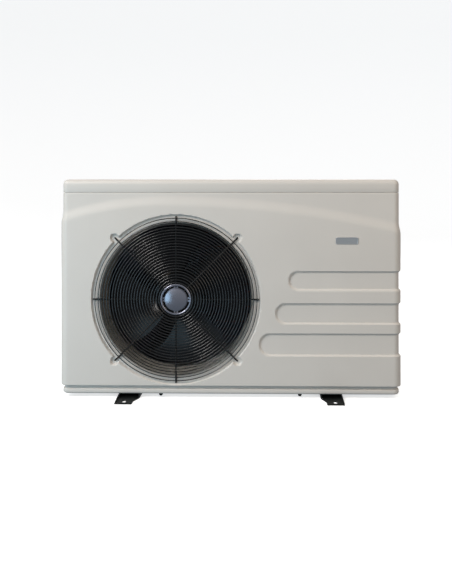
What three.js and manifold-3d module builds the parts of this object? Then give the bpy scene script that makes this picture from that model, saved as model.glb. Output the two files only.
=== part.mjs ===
// A swimming-pool heat pump: a moulded casing on two foot rails, an axial fan hung on a wire guard in
// front of an L-shaped evaporator coil, and a compressor bay with the water heat exchanger.
// Millimetres, +Z up, front face towards -Y, origin on the floor at the middle of the footprint.
import * as THREE from "three";
import { mergeVertices } from "three/addons/utils/BufferGeometryUtils.js";
import Module from "manifold-3d";

// ---- Casing -------------------------------------------------------------------------------------
const WIDTH = 1010; // across the proud sides
const DEPTH = 372; // proud front face to the matching plane at the back
const HEIGHT = 648; // floor to the top of the lid
const SKIN = 4; // moulded wall
const PROUD = 5.5; // how far the lower casing stands out from the band above the arch
const CORNER = 24; // plan radius of the proud corners
const GAP = 0.4; // clearance between pieces that touch
const FLOOR_TO_SKIRT = 12;
const SKIRT_HEIGHT = 15;
const BAND_HEIGHT = 10; // shadow band between the skirt and the panels
const BAND_INSET = 5;
const LID_HEIGHT = 40;
const LID_ROUND = 14; // radius of the lid's top edge
const PAN_SHEET = 3;
const WRAP = 46; // how far the front panel returns round the corners
const REAR_WRAP = 30; // the same for the rear mouldings

// The arch: the proud face ends below a curve that peaks left of centre.
const ARCH_PEAK_X = -198;
const ARCH_PEAK_DROP = 24.5; // below the lid seam
const ARCH_LEFT_DROP = 74;
const ARCH_RIGHT_DROP = 106.5;
const ARCH_STEPS = 7; // straight pieces each side of the peak

// Three flutes run from a round end on the front, round the right corner and along that side.
const FLUTES = [
  { z: 348, height: 53, start: 174 },
  { z: 251, height: 58, start: 135 },
  { z: 159.5, height: 63, start: 87 },
];

// ---- Fan ----------------------------------------------------------------------------------------
const FAN_X = -160;
const FAN_Z = 292;
const OPENING_R = 228;
const RECESS_R = OPENING_R + 22; // round recess that the guard lies in
const RECESS_DEPTH = 9;
const LOBE_REACH = RECESS_R + 12; // centre of the recess's four corner lobes, and of the guard's bent legs
const LOBE_R = 12;
const THROAT_R = OPENING_R - 11;
const SHROUD_LENGTH = 110;
const SHROUD_WALL = 3;
const SHROUD_FLANGE = 15;
const ROUND = 36; // sides of the large circles
const RING_WIRE = 3;
const ARM_WIRE = 4.6;
const RING_INNER_R = 50;
const RING_OUTER_R = RECESS_R - 10;
const RING_NEXT_R = RING_OUTER_R - 9; // the evenly spaced rings end here
const RING_COUNT = 20;
const RING_SIDES = 20;
const OUTER_RING_SIDES = 32;
const SMALL_RING_SIDES = 16;
const ARM_INNER_R = 34;
const ARM_OUTER_R = RING_OUTER_R + 6; // the upright and level arms
const LEG_LENGTH = 13;
const LEG_HOLE_R = 4;

const FLANGE_R = 46; // motor flange seen in the middle of the guard
const FLANGE_THICK = 5;
const BOSS_R = 32; // raised cap inside the flange's four curved slots
const SLOT_INNER_R = 34;
const SLOT_OUTER_R = 40;
const NECK_R = 31;
const TUBE_R = 18; // bearing tube
const BEARING_R = 13;
const BEARING_WIDTH = 9;
const SHAFT_R = 6;
const CAN_R = 51; // the outer rotor
const CAN_WALL = 4;
const CORE_LENGTH = 30;
const CORE_R = CAN_R - CAN_WALL - 2; // stator laminations
const CAN_LENGTH = 52;
const HUB_R = CAN_R + 21;
const HUB_DEPTH = 65; // front face of the casing to the front of the hub
const HUB_LENGTH = 50;
const BLADE_COUNT = 4;
const BLADE_TIP_R = THROAT_R - 10;
const BLADE_THICK = 3;
const BLADE_FIRST = 15; // degrees, the first blade's middle
const BLADE_ROOT_ARC = 62;
const BLADE_TIP_ARC = 73;
const BLADE_RISE = 44; // leading edge to trailing edge along the axis

// ---- Inside -------------------------------------------------------------------------------------
const COIL_THICK = 40;
const COIL_CLEAR = 6;
const COIL_BENDS = 7;
const BEND_TUBE = 4.8;
const BEND_REACH = 16;
const TUBE_SHEET = 3;
const PARTITION_SHEET = 2;
const PARTITION_CLEAR = 44; // from the shroud flange
const COMPRESSOR_R = 58;
const COMPRESSOR_HEIGHT = 235;
const GROMMET_R = 13;
const GROMMET_HEIGHT = 20;
const GROMMET_CIRCLE = 76;
const EXCHANGER_R = 66;
const EXCHANGER_HEIGHT = 404;
const ACCUMULATOR_R = 29;
const ACCUMULATOR_HEIGHT = 170;
const GAS_PIPE_R = 6.4;
const LIQUID_PIPE_R = 4.8;

// ---- Water unions, for 50 mm pipe ------------------------------------------------------------------
const PIPE_R = 25;
const BORE_R = PIPE_R - 5;
const THREAD_R = PIPE_R + 7;
const THREAD_LENGTH = 20;
const TAIL_R = PIPE_R + 4.5;
const NUT_R = THREAD_R + 8;
const NUT_LENGTH = 31;
const NUT_RIBS = 8;
const SEAL_THICK = 2.4;
const TAIL_FLANGE = 5;
const SOCKET_DEPTH = 25;
const INLET_Z = 110;
const OUTLET_Z = 322;
const TURNED = 20; // sides of the small turned parts

// ---- Feet -----------------------------------------------------------------------------------------
const FOOT_X = 299;
const FOOT_WIDTH = 63;
const FOOT_TOE = 50; // width at the very end
const FOOT_OVERHANG = 58; // beyond the casing's front and back
const FOOT_SHEET = 3;
const SLOT_WIDTH = 11;
const SLOT_LENGTH = 20;
const SLOT_FROM_END = 20;

// ---- Right-hand side: display and gauge ---------------------------------------------------------
const DISPLAY_WIDTH = 112;
const DISPLAY_HEIGHT = 84;
const DISPLAY_DEPTH = 24;
const DISPLAY_Y = -52;
const BUTTON_COUNT = 3;
const BUTTON_R = 6;
const BUTTON_PITCH = 26;
const BUTTON_HEIGHT = 2.4;
const DOOR_THICK = 2.5;
const GAUGE_R = 32;
const GAUGE_DEPTH = 26;
const GAUGE_Y = 84;
const SCREW_X = 206; // the two screws under the front edge

// ---- Places worked out from those ---------------------------------------------------------------
const frontY = -DEPTH / 2;
const recessedX = WIDTH / 2 - PROUD; // sides and back of the band, the lid and the skirt
const recessedY = DEPTH / 2 - PROUD;
const recessedCorner = CORNER - PROUD;
const insideX = recessedX - SKIN;
const insideY = recessedY - SKIN;
const skirtZ = FLOOR_TO_SKIRT;
const bandZ = skirtZ + SKIRT_HEIGHT;
const panelZ = bandZ + BAND_HEIGHT;
const seamZ = HEIGHT - LID_HEIGHT;
const frontSeamY = frontY + WRAP;
const rearSeamY = recessedY - REAR_WRAP;
const recessY = frontY + RECESS_DEPTH;
const ringY = recessY - ARM_WIRE - 0.4 - RING_WIRE / 2 + 0.7; // rings sunk 0.7 into the arms behind them
const armY = recessY - 0.4 - ARM_WIRE / 2;
const shroudY = recessY + SKIN + GAP;
const partitionX = FAN_X + OPENING_R + SHROUD_FLANGE + PARTITION_CLEAR;
const sideMidZ = (FLUTES[0].z + FLUTES[0].height / 2 + seamZ - ARCH_RIGHT_DROP) / 2;
const footEndY = DEPTH / 2 + FOOT_OVERHANG;

const wasm = await Module();
wasm.setup();

// ---- Materials ------------------------------------------------------------------------------------
const finish = (color, roughness, metalness = 0) =>
  new THREE.MeshStandardMaterial({ color, roughness, metalness });
const casing = finish(0xd2cfc8, 0.5);
const blackWire = finish(0x0c0c0d, 0.35, 0.2);
const blackPlastic = finish(0x14151a, 0.25);
const blackSteel = finish(0x101211, 0.55, 0.3);
const motorGrey = finish(0x5c5e68, 0.35, 0.4);
const steel = finish(0x9a9c9e, 0.35, 0.9);
const galvanised = finish(0xa9acad, 0.5, 0.8);
const finAluminium = finish(0x7f868a, 0.45, 0.8);
const copper = finish(0xb56a43, 0.3, 0.95);
const brass = finish(0xb79a55, 0.35, 0.9);
const rubber = finish(0x1b1b1b, 0.9);
const pvc = finish(0x2e3134, 0.45);
const clear = finish(0x9fb0b8, 0.1);
const white = finish(0xe9e9e4, 0.4);
const signal = finish(0xb8301f, 0.4);
const board = finish(0x1e5a37, 0.5);

// ---- Solids ---------------------------------------------------------------------------------------
// A closed three.js geometry as a solid that can be joined and cut.
function solid(geometry) {
  const bare = new THREE.BufferGeometry();
  bare.setAttribute("position", geometry.getAttribute("position"));
  if (geometry.index) bare.setIndex(geometry.index);
  const merged = mergeVertices(bare, 1e-4);
  const vertProperties = new Float32Array(merged.attributes.position.array);
  const triVerts = new Uint32Array(merged.index.array);
  const make = () => new wasm.Manifold(new wasm.Mesh({ numProp: 3, vertProperties, triVerts }));
  const made = make();
  if (made.volume() > 0) return made;
  for (let i = 0; i < triVerts.length; i += 3) {
    [triVerts[i + 1], triVerts[i + 2]] = [triVerts[i + 2], triVerts[i + 1]];
  }
  return make();
}

function geometryOf(body) {
  const mesh = body.getMesh();
  return new THREE.BufferGeometry()
    .setAttribute("position", new THREE.BufferAttribute(mesh.vertProperties, 3))
    .setIndex(new THREE.BufferAttribute(mesh.triVerts, 1));
}

const join = (...bodies) => bodies.flat().reduce((a, b) => a.add(b));
const cut = (body, ...tools) => tools.flat().reduce((a, b) => a.subtract(b), body);

const unit = new THREE.Group();
unit.name = "pool_heat_pump";

// Adds one piece to a group as a named mesh.
function piece(name, body, material, parent = unit) {
  const mesh = new THREE.Mesh(geometryOf(body), material);
  mesh.geometry.computeVertexNormals();
  mesh.name = name;
  parent.add(mesh);
  return mesh;
}

// A group placed in the unit, for pieces that are drawn about their own centre.
function station(x, y, z) {
  const group = new THREE.Group();
  group.position.set(x, y, z);
  unit.add(group);
  return group;
}

function block(x0, x1, y0, y1, z0, z1) {
  const geometry = new THREE.BoxGeometry(x1 - x0, y1 - y0, z1 - z0);
  geometry.translate((x0 + x1) / 2, (y0 + y1) / 2, (z0 + z1) / 2);
  return solid(geometry);
}

// Extrusions of a flat shape: up Z from (x, y), back along Y from (x, z), and along X from (y, z).
const BASES = {
  z: new THREE.Matrix4(),
  y: new THREE.Matrix4().makeBasis(
    new THREE.Vector3(1, 0, 0), new THREE.Vector3(0, 0, 1), new THREE.Vector3(0, -1, 0)),
  x: new THREE.Matrix4().makeBasis(
    new THREE.Vector3(0, 1, 0), new THREE.Vector3(0, 0, 1), new THREE.Vector3(1, 0, 0)),
};
function prism(axis, shape, from, to, curveSegments = 3) {
  const geometry = new THREE.ExtrudeGeometry(shape, {
    depth: to - from, bevelEnabled: false, curveSegments,
  });
  geometry.applyMatrix4(BASES[axis]);
  if (axis === "y") geometry.translate(0, to, 0);
  if (axis === "x") geometry.translate(from, 0, 0);
  if (axis === "z") geometry.translate(0, 0, from);
  return solid(geometry);
}

function roundedRectangle(halfWidth, halfHeight, radius, cx = 0, cy = 0) {
  const s = new THREE.Shape();
  const [x0, x1, y0, y1] = [cx - halfWidth, cx + halfWidth, cy - halfHeight, cy + halfHeight];
  s.moveTo(x0 + radius, y0);
  s.lineTo(x1 - radius, y0);
  s.absarc(x1 - radius, y0 + radius, radius, -Math.PI / 2, 0);
  s.lineTo(x1, y1 - radius);
  s.absarc(x1 - radius, y1 - radius, radius, 0, Math.PI / 2);
  s.lineTo(x0 + radius, y1);
  s.absarc(x0 + radius, y1 - radius, radius, Math.PI / 2, Math.PI);
  s.lineTo(x0, y0 + radius);
  s.absarc(x0 + radius, y0 + radius, radius, Math.PI, 1.5 * Math.PI);
  return s;
}

const circle = (radius, x = 0, y = 0) => new THREE.Shape().absarc(x, y, radius, 0, 2 * Math.PI);
const polygon = (points) => new THREE.Shape(points.map(([x, y]) => new THREE.Vector2(x, y)));

// A turned part. The profile is (radius, distance along the axis) and closes on itself or on the axis.
function turned(profile, sides = TURNED, axis = "y") {
  const closed = profile[0][0] > 0 ? [...profile, profile[0]] : profile;
  const geometry = new THREE.LatheGeometry(closed.map(([r, a]) => new THREE.Vector2(r, a)), sides);
  if (axis === "z") geometry.rotateX(Math.PI / 2);
  if (axis === "x") geometry.rotateZ(-Math.PI / 2);
  return solid(geometry);
}

const rod = (radius, from, to, sides = TURNED, axis = "y") =>
  turned([[0, from], [radius, from], [radius, to], [0, to]], sides, axis);
const ring = (inner, outer, from, to, sides = TURNED, axis = "y") =>
  turned([[inner, from], [outer, from], [outer, to], [inner, to]], sides, axis);

// A bent pipe through points, with a straight run at each end.
function bentPipe(points, radius, steps, sides = 6) {
  const path = new THREE.CatmullRomCurve3(
    points.map((p) => new THREE.Vector3(...p)), false, "centripetal");
  const section = new THREE.Shape();
  section.absarc(0, 0, radius, 0, 2 * Math.PI);
  const geometry = new THREE.ExtrudeGeometry(section, {
    steps, extrudePath: path, bevelEnabled: false, curveSegments: sides / 2,
  });
  return solid(geometry);
}

const at = (body, x, y, z) => body.translate([x, y, z]);

// ---- Casing form ----------------------------------------------------------------------------------
// Height of the arch at x: a parabola each side of the peak.
function archZ(x) {
  const left = x < ARCH_PEAK_X;
  const drop = (left ? ARCH_LEFT_DROP : ARCH_RIGHT_DROP) - ARCH_PEAK_DROP;
  const span = left ? ARCH_PEAK_X + WIDTH / 2 : WIDTH / 2 - ARCH_PEAK_X;
  return seamZ - ARCH_PEAK_DROP - drop * ((x - ARCH_PEAK_X) / span) ** 2;
}

// Everything under the arch, as a prism through the whole depth, lowered by inset.
function underArch(inset) {
  const points = [[-WIDTH / 2 - 1, panelZ - 1], [WIDTH / 2 + 1, panelZ - 1]];
  for (let i = ARCH_STEPS; i >= -ARCH_STEPS; i--) {
    const end = i < 0 ? -WIDTH / 2 - 1 : WIDTH / 2 + 1;
    const x = ARCH_PEAK_X + ((end - ARCH_PEAK_X) * Math.abs(i)) / ARCH_STEPS;
    points.push([x, archZ(x) - inset]);
  }
  return prism("y", polygon(points), frontY - 1, rearSeamY);
}

// One flute through the proud layer, grown by inset all round.
function flute({ z, height, start }, inset) {
  const r = height / 2 + inset;
  const s = new THREE.Shape();
  s.moveTo(WIDTH, z - r);
  s.lineTo(WIDTH, z + r);
  s.lineTo(start + height / 2, z + r);
  s.absarc(start + height / 2, z, r, Math.PI / 2, 1.5 * Math.PI);
  s.closePath();
  return prism("y", s, frontY - 1, rearSeamY + 1, 4);
}

// The casing's outside, or its inside when inset by the skin.
function casingForm(inset, below, above) {
  const radius = Math.max(recessedCorner - inset, 1);
  const band = prism("z",
    roundedRectangle(recessedX - inset, recessedY - inset, radius), below, above);
  const layer = prism("z",
    roundedRectangle(WIDTH / 2 - inset, DEPTH / 2 - inset, CORNER - inset), below, above);
  return join(band, cut(layer.intersect(underArch(inset)), FLUTES.map((f) => flute(f, inset))));
}

const casingShell = cut(
  casingForm(0, panelZ, seamZ - GAP),
  casingForm(SKIN, panelZ - 2, seamZ + 2),
);

// The recess round the fan: a disc with four lobes at the corners, grown by a margin.
function recessPrism(margin, from, to) {
  const disc = at(rod(RECESS_R + margin, from, to, ROUND), FAN_X, 0, FAN_Z);
  const lobes = [45, 135, 225, 315].map((degrees) => {
    const arm = roundedRectangle(LOBE_REACH / 2, LOBE_R + margin, LOBE_R + margin - 0.01, LOBE_REACH / 2 + LOBE_R);
    const reach = prism("y", arm, from, to);
    return at(reach.rotate([0, -degrees, 0]), FAN_X, 0, FAN_Z);
  });
  return join(disc, lobes);
}

function lobeCentres() {
  return [45, 135, 225, 315].map((degrees) => {
    const a = THREE.MathUtils.degToRad(degrees);
    return [FAN_X + LOBE_REACH * Math.cos(a), FAN_Z + LOBE_REACH * Math.sin(a)];
  });
}

function frontPanel() {
  const shell = casingShell.intersect(block(-WIDTH, WIDTH, frontY - 1, frontSeamY, 0, HEIGHT));
  const backing = recessPrism(SKIN, frontY + 1, recessY + SKIN);
  const pocket = recessPrism(0, frontY - 1, recessY);
  const opening = at(rod(OPENING_R, frontY - 1, recessY + SKIN + 1, ROUND), FAN_X, 0, FAN_Z);
  const legs = lobeCentres().map(([x, z]) =>
    at(rod(LEG_HOLE_R, frontY, recessY + SKIN + 1, 8), x, 0, z));
  piece("front_panel", cut(join(shell, backing), pocket, opening, legs), casing);
}

// Left side: the same shell with rows of air slots for the coil's short leg.
function leftPanel() {
  const shell = casingShell.intersect(
    block(-WIDTH, 0, frontSeamY + GAP, rearSeamY - GAP, 0, HEIGHT));
  const slotHeight = 9;
  const pitch = 26;
  const slots = [];
  for (let z = panelZ + 48; z < archZ(-WIDTH / 2) - 30; z += pitch) {
    slots.push(block(-WIDTH, -insideX + 1, frontSeamY + 36, rearSeamY - 26, z, z + slotHeight));
  }
  piece("left_panel", cut(shell, slots), casing);
}

function rightPanel() {
  const shell = casingShell.intersect(
    block(0, WIDTH, frontSeamY + GAP, rearSeamY - GAP, 0, HEIGHT));
  const display = prism("x", roundedRectangle(
    DISPLAY_WIDTH / 2, DISPLAY_HEIGHT / 2, 8, DISPLAY_Y, sideMidZ), insideX - 2, WIDTH / 2 + 1, 3);
  const gauge = at(rod(GAUGE_R + GAP, insideX - 2, WIDTH / 2 + 1, TURNED, "x"), 0, GAUGE_Y, sideMidZ);
  piece("right_panel", cut(shell, display, gauge), casing);
}

const waterX = insideX - EXCHANGER_R - 29;
const glandX = partitionX + 92;
const glandZ = panelZ + 52;
const splitX = partitionX + 6; // where the coil guard meets the rear panel

function rearShell(x0, x1) {
  const outer = prism("z", roundedRectangle(recessedX, recessedY, recessedCorner), panelZ, seamZ - GAP);
  const inner = prism("z",
    roundedRectangle(insideX, insideY, recessedCorner - SKIN), panelZ - 1, seamZ + 1);
  return cut(outer, inner).intersect(block(x0, x1, rearSeamY, DEPTH, 0, HEIGHT));
}

function rearPanel() {
  const holes = [INLET_Z, OUTLET_Z].map((z) =>
    at(rod(PIPE_R + 1.5, insideY - 2, recessedY + 2), waterX, 0, z));
  const gland = at(rod(9.5, insideY - 2, recessedY + 2, 12), glandX, 0, glandZ);
  piece("rear_panel", cut(rearShell(splitX + GAP, WIDTH), holes, gland), casing);
}

// A moulded grid of level louvres over the coil, with an upright behind them.
function coilGuard() {
  const margin = 26;
  const [x0, x1] = [-insideX + 10, splitX - margin];
  const [z0, z1] = [panelZ + margin, seamZ - margin];
  const frame = cut(rearShell(-WIDTH, splitX), block(x0, x1, insideY - 1, recessedY + 1, z0, z1));
  const bars = [];
  const rows = 15;
  for (let i = 1; i < rows; i++) {
    const z = z0 + ((z1 - z0) * i) / rows;
    bars.push(block(x0 - 1, x1 + 1, insideY + 0.5, recessedY - 0.4, z - 2.5, z + 2.5));
  }
  const x = (x0 + x1) / 2;
  bars.push(block(x - 4, x + 4, insideY, recessedY - 1.2, z0 - 1, z1 + 1));
  piece("coil_guard", join(frame, bars), casing);
}

// A slab with a rounded top edge, standing on a level cut.
function domedSlab(inset, from, to) {
  const r = LID_ROUND - inset;
  const geometry = new THREE.ExtrudeGeometry(
    roundedRectangle(recessedX - LID_ROUND, recessedY - LID_ROUND, recessedCorner - LID_ROUND), {
      depth: to - from, bevelThickness: r, bevelSize: r, bevelSegments: 3, curveSegments: 3,
    });
  geometry.translate(0, 0, from - r);
  return solid(geometry).intersect(block(-WIDTH, WIDTH, -DEPTH, DEPTH, from, to));
}

// The lid: a domed tray with a stepped lip that drops inside the panels.
function topCover() {
  const section = (inset) =>
    roundedRectangle(recessedX - inset, recessedY - inset, recessedCorner - inset);
  const tray = cut(domedSlab(0, seamZ, HEIGHT), domedSlab(SKIN, seamZ - 1, HEIGHT - SKIN));
  const lip = cut(
    prism("z", section(SKIN + 0.8), seamZ - 10, seamZ + 8),
    prism("z", section(SKIN + 3), seamZ - 11, seamZ + 9));
  const ledge = cut(
    prism("z", section(SKIN - 1), seamZ + 4, seamZ + 8),
    prism("z", section(SKIN + 2), seamZ, seamZ + 9));
  piece("top_cover", join(tray, ledge, lip), casing);
}

// ---- Base -----------------------------------------------------------------------------------------
const screwY = -recessedY + 9.5;
const drainX = FAN_X;
const drainY = 62;

function basePan() {
  const section = (inset) =>
    roundedRectangle(recessedX - inset, recessedY - inset, recessedCorner - inset);
  const skirt = prism("z", section(0), skirtZ, bandZ);
  const under = prism("z", section(PAN_SHEET), skirtZ - 1, bandZ - PAN_SHEET);
  const upstand = cut(
    prism("z", section(BAND_INSET), bandZ - 1, panelZ - GAP),
    prism("z", section(BAND_INSET + PAN_SHEET), bandZ, panelZ));
  const bosses = [-SCREW_X, SCREW_X].map((x) =>
    at(rod(8, skirtZ, bandZ - 1, 12, "z"), x, screwY, 0));
  const screwHoles = [-SCREW_X, SCREW_X].map((x) =>
    at(rod(2.4, skirtZ - 1, bandZ - PAN_SHEET, 8, "z"), x, screwY, 0));
  const drain = at(rod(8, skirtZ, bandZ + 1, 12, "z"), drainX, drainY, 0);
  piece("base_pan", cut(join(cut(skirt, under), upstand, bosses), screwHoles, drain), casing);
}

// A domed screw from below through the pan's front boss.
function frontScrews() {
  [["left", -SCREW_X], ["right", SCREW_X]].forEach(([side, x]) => {
    const group = station(x, screwY, skirtZ - GAP);
    const profile = [[0, 9], [2, 9], [2, 0], [6, 0], [6, -3], [5.2, -5.4], [3.4, -6.8], [0, -7.3]];
    piece(`front_screw_${side}`, turned(profile, 12, "z"), blackSteel, group);
  });
}

function drainNozzle() {
  const group = station(drainX, drainY, 0);
  const [top, bottom] = [bandZ + 2.4, 3];
  const profile = [
    [5, top], [11, top], [11, bandZ + GAP], [7.6, bandZ + GAP], [7.6, bandZ - PAN_SHEET - GAP],
    [9.5, bandZ - PAN_SHEET - GAP], [9.5, bandZ - PAN_SHEET - 3], [8, 16], [9, 12], [7.4, bottom], [5, bottom],
  ];
  piece("drain_nozzle", turned(profile, 16, "z"), rubber, group);
}

// A pressed rail from front to back: a sole plate, two webs, and a slotted toe at each end.
function footRail(side) {
  const group = station(side * FOOT_X, 0, 0);
  const half = FOOT_WIDTH / 2;
  const inner = -side * half; // towards the middle of the unit, where the toe narrows
  const outer = side * half;
  const toe = inner + side * (FOOT_WIDTH - FOOT_TOE);
  const rootY = DEPTH / 2 - 2;
  const sole = polygon([
    [outer, -footEndY], [toe, -footEndY], [toe, -footEndY + 26], [inner, -rootY],
    [inner, rootY], [toe, footEndY - 26], [toe, footEndY], [outer, footEndY],
  ]);
  const plate = prism("z", sole, 0, FOOT_SHEET);
  const under = recessedY - PAN_SHEET - 4;
  const low = skirtZ - GAP;
  const high = bandZ - PAN_SHEET - GAP;
  const web = polygon([
    [-footEndY + 8, 1], [-footEndY + 8, FOOT_SHEET + 2], [-rootY, low], [-under, low],
    [-under, high], [under, high], [under, low], [rootY, low],
    [footEndY - 8, FOOT_SHEET + 2], [footEndY - 8, 1],
  ]);
  const shortWeb = polygon([
    [-rootY, 1], [-rootY, low], [-under, low], [-under, high],
    [under, high], [under, low], [rootY, low], [rootY, 1],
  ]);
  const [a, b] = [outer, outer - side * FOOT_SHEET].sort((p, q) => p - q);
  const [c, d] = [inner, inner + side * FOOT_SHEET].sort((p, q) => p - q);
  const rib = [(a + b) / 2 - side * FOOT_WIDTH * 0.45, FOOT_SHEET];
  const slotX = (outer + toe) / 2;
  const slots = [-1, 1].map((end) => prism("z", roundedRectangle(
    SLOT_WIDTH / 2, SLOT_LENGTH / 2, SLOT_WIDTH / 2 - 0.01, slotX, end * (footEndY - SLOT_FROM_END)),
  -1, FOOT_SHEET + 1, 4));
  const bridge = block(Math.min(a, c), Math.max(b, d), -rib[1], rib[1], 1, high);
  const rail = join(plate, prism("x", web, a, b), prism("x", shortWeb, c, d), bridge);
  piece(side < 0 ? "foot_rail_left" : "foot_rail_right", cut(rail, slots), blackSteel, group);
}

// ---- Fan ------------------------------------------------------------------------------------------
// These are drawn about the fan's axis, which runs along Y.
const fan = station(FAN_X, 0, FAN_Z);

function fanShroud() {
  const back = shroudY + SHROUD_LENGTH;
  const wall = SHROUD_WALL;
  const profile = [
    [OPENING_R, shroudY], [OPENING_R + SHROUD_FLANGE, shroudY],
    [OPENING_R + SHROUD_FLANGE, shroudY + wall], [OPENING_R + wall, shroudY + wall],
    [THROAT_R + wall + 3, shroudY + SHROUD_LENGTH * 0.45], [THROAT_R + wall, back],
    [THROAT_R, back], [THROAT_R + 3, shroudY + SHROUD_LENGTH * 0.45],
  ];
  piece("fan_shroud", turned(profile, ROUND), casing, fan);
}

// The guard: welded rings in front of eight arms. The four diagonal arms are bent back at their ends.
function fanGuard() {
  const wire = (r, sides) => {
    const w = RING_WIRE / 2;
    const body = turned([[r - w, ringY + w], [r, ringY - w], [r + w, ringY + w]], sides);
    return body.rotate([0, 180 / sides, 0]); // so that the arms cross the straight runs
  };
  const rings = [wire(RING_OUTER_R, OUTER_RING_SIDES), wire(RING_NEXT_R, OUTER_RING_SIDES)];
  const pitch = (RING_NEXT_R - RING_INNER_R) / (RING_COUNT - 1);
  for (let i = 0; i < RING_COUNT - 1; i++) {
    const r = RING_INNER_R + pitch * i;
    rings.push(wire(r, r < RECESS_R / 2 ? SMALL_RING_SIDES : RING_SIDES));
  }
  const arms = Array.from({ length: 8 }, (_, i) => {
    const diagonal = i % 2 === 1;
    const [inner, outer] = [ARM_INNER_R, diagonal ? LOBE_REACH : ARM_OUTER_R];
    const h = ARM_WIRE / 2;
    const straight = block(inner, outer, armY - h, armY + h, -h, h);
    const leg = block(outer - h, outer + h, armY - h, armY + LEG_LENGTH, -h, h);
    return (diagonal ? join(straight, leg) : straight).rotate([0, -45 * i, 0]);
  });
  piece("fan_guard", join(wasm.Manifold.union(rings), arms), blackWire, fan);
}

const flangeBackY = armY - ARM_WIRE / 2 - GAP;
const flangeFrontY = flangeBackY - FLANGE_THICK;
const canBackY = frontY + HUB_DEPTH - 6 + CAN_LENGTH;
const coreFrontY = canBackY - CAN_WALL - 8 - CORE_LENGTH;
const frontBearingY = flangeBackY + 16;
const rearBearingY = canBackY - CAN_WALL - 6 - BEARING_WIDTH;

// The fixed half of the outer-rotor motor: a slotted flange in the middle of the guard, on a hollow neck.
function motorFlange() {
  const boss = FLANGE_THICK + 1.6;
  const seat = BEARING_R + 0.3;
  const profile = [
    [0, flangeBackY - boss], [BOSS_R - 3, flangeBackY - boss + 0.6], [BOSS_R, flangeFrontY + 1.2],
    [FLANGE_R - 4, flangeFrontY + 1.2], [FLANGE_R - 2, flangeFrontY], [FLANGE_R, flangeFrontY + 1],
    [FLANGE_R, flangeBackY], [NECK_R, flangeBackY], [NECK_R, frontBearingY - 1],
    [TUBE_R, frontBearingY + 6], [TUBE_R, rearBearingY + BEARING_WIDTH + 1],
    [seat, rearBearingY + BEARING_WIDTH + 1], [seat, frontBearingY - 1], [0, frontBearingY - 1],
  ];
  const slots = [45, 135, 225, 315].map((degrees) => {
    const [a0, a1] = [-36, 36].map((a) => THREE.MathUtils.degToRad(degrees + a));
    const s = new THREE.Shape();
    s.absarc(0, 0, SLOT_OUTER_R, a0, a1);
    s.absarc(0, 0, SLOT_INNER_R, a1, a0, true);
    s.closePath();
    return prism("y", s, flangeFrontY - 3, flangeBackY + 1, 3);
  });
  piece("motor_flange", cut(turned(profile, TURNED), slots), motorGrey, fan);
}

function statorCore() {
  const [bore, y0, y1] = [TUBE_R + GAP, coreFrontY, coreFrontY + CORE_LENGTH];
  const profile = [
    [bore, y0 - 5], [CORE_R - 8, y0 - 5], [CORE_R - 8, y0], [CORE_R, y0],
    [CORE_R, y1], [CORE_R - 8, y1], [CORE_R - 8, y1 + 4], [bore, y1 + 4],
  ];
  piece("stator_core", turned(profile, TURNED), copper, fan);
}

function bearings() {
  [["front", frontBearingY], ["rear", rearBearingY]].forEach(([where, y]) => {
    piece(`motor_bearing_${where}`,
      ring(SHAFT_R + 0.5, BEARING_R, y, y + BEARING_WIDTH, 16), steel, fan);
  });
}

// The turning half: a cup open to the front, with the shaft fixed in its closed end.
function rotorCan() {
  const inner = CAN_R - CAN_WALL;
  const profile = [
    [0, canBackY], [CAN_R, canBackY], [CAN_R, canBackY - CAN_LENGTH], [inner, canBackY - CAN_LENGTH],
    [inner, canBackY - CAN_WALL], [SHAFT_R, canBackY - CAN_WALL], [SHAFT_R, frontBearingY + 1.2],
    [0, frontBearingY + 1.2],
  ];
  piece("rotor_can", turned(profile, TURNED), blackSteel, fan);
}

// One blade: a box of unit size carried onto a twisted fan-shaped sheet.
function blade(middle) {
  const box = new THREE.BoxGeometry(1, 1, 1, 4, 5, 1);
  const place = box.attributes.position;
  const root = HUB_R - 2;
  const centreY = frontY + HUB_DEPTH + HUB_LENGTH / 2 - 1;
  for (let i = 0; i < place.count; i++) {
    const out = place.getX(i) + 0.5;
    const along = place.getY(i);
    const through = place.getZ(i);
    const r = root + (BLADE_TIP_R - root) * out;
    const arc = BLADE_ROOT_ARC + (BLADE_TIP_ARC - BLADE_ROOT_ARC) * out;
    const angle = THREE.MathUtils.degToRad(middle + 6 - 12 * out * out + along * arc);
    const rise = BLADE_RISE * (1 - 0.25 * out);
    const y = centreY - along * rise + 9 * (0.25 - along * along) + through * BLADE_THICK;
    place.setXYZ(i, r * Math.cos(angle), y, r * Math.sin(angle));
  }
  return solid(box);
}

function impeller() {
  const front = frontY + HUB_DEPTH;
  const bore = CAN_R + GAP;
  const profile = [
    [bore, front], [HUB_R - 3, front], [HUB_R, front + 3], [HUB_R, front + HUB_LENGTH],
    [HUB_R - 4, front + HUB_LENGTH], [HUB_R - 4, front + 6], [bore + 3, front + 6],
    [bore + 3, front + 30], [bore, front + 30],
  ];
  const blades = Array.from({ length: BLADE_COUNT }, (_, i) =>
    blade(BLADE_FIRST + (360 / BLADE_COUNT) * i));
  piece("fan_impeller", join(turned(profile, TURNED), blades), blackPlastic, fan);
}

// ---- Refrigerant circuit --------------------------------------------------------------------------
const coilX0 = -insideX + COIL_CLEAR;
const coilX1 = partitionX - 30;
const coilY1 = insideY - COIL_CLEAR;
const coilZ0 = bandZ + GAP;
const coilZ1 = seamZ - 16;
const coilLegY = -insideY + 62;
const gasZ = coilZ1 - 30; // where the pipes pass the partition
const liquidZ = coilZ0 + 26;

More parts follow.
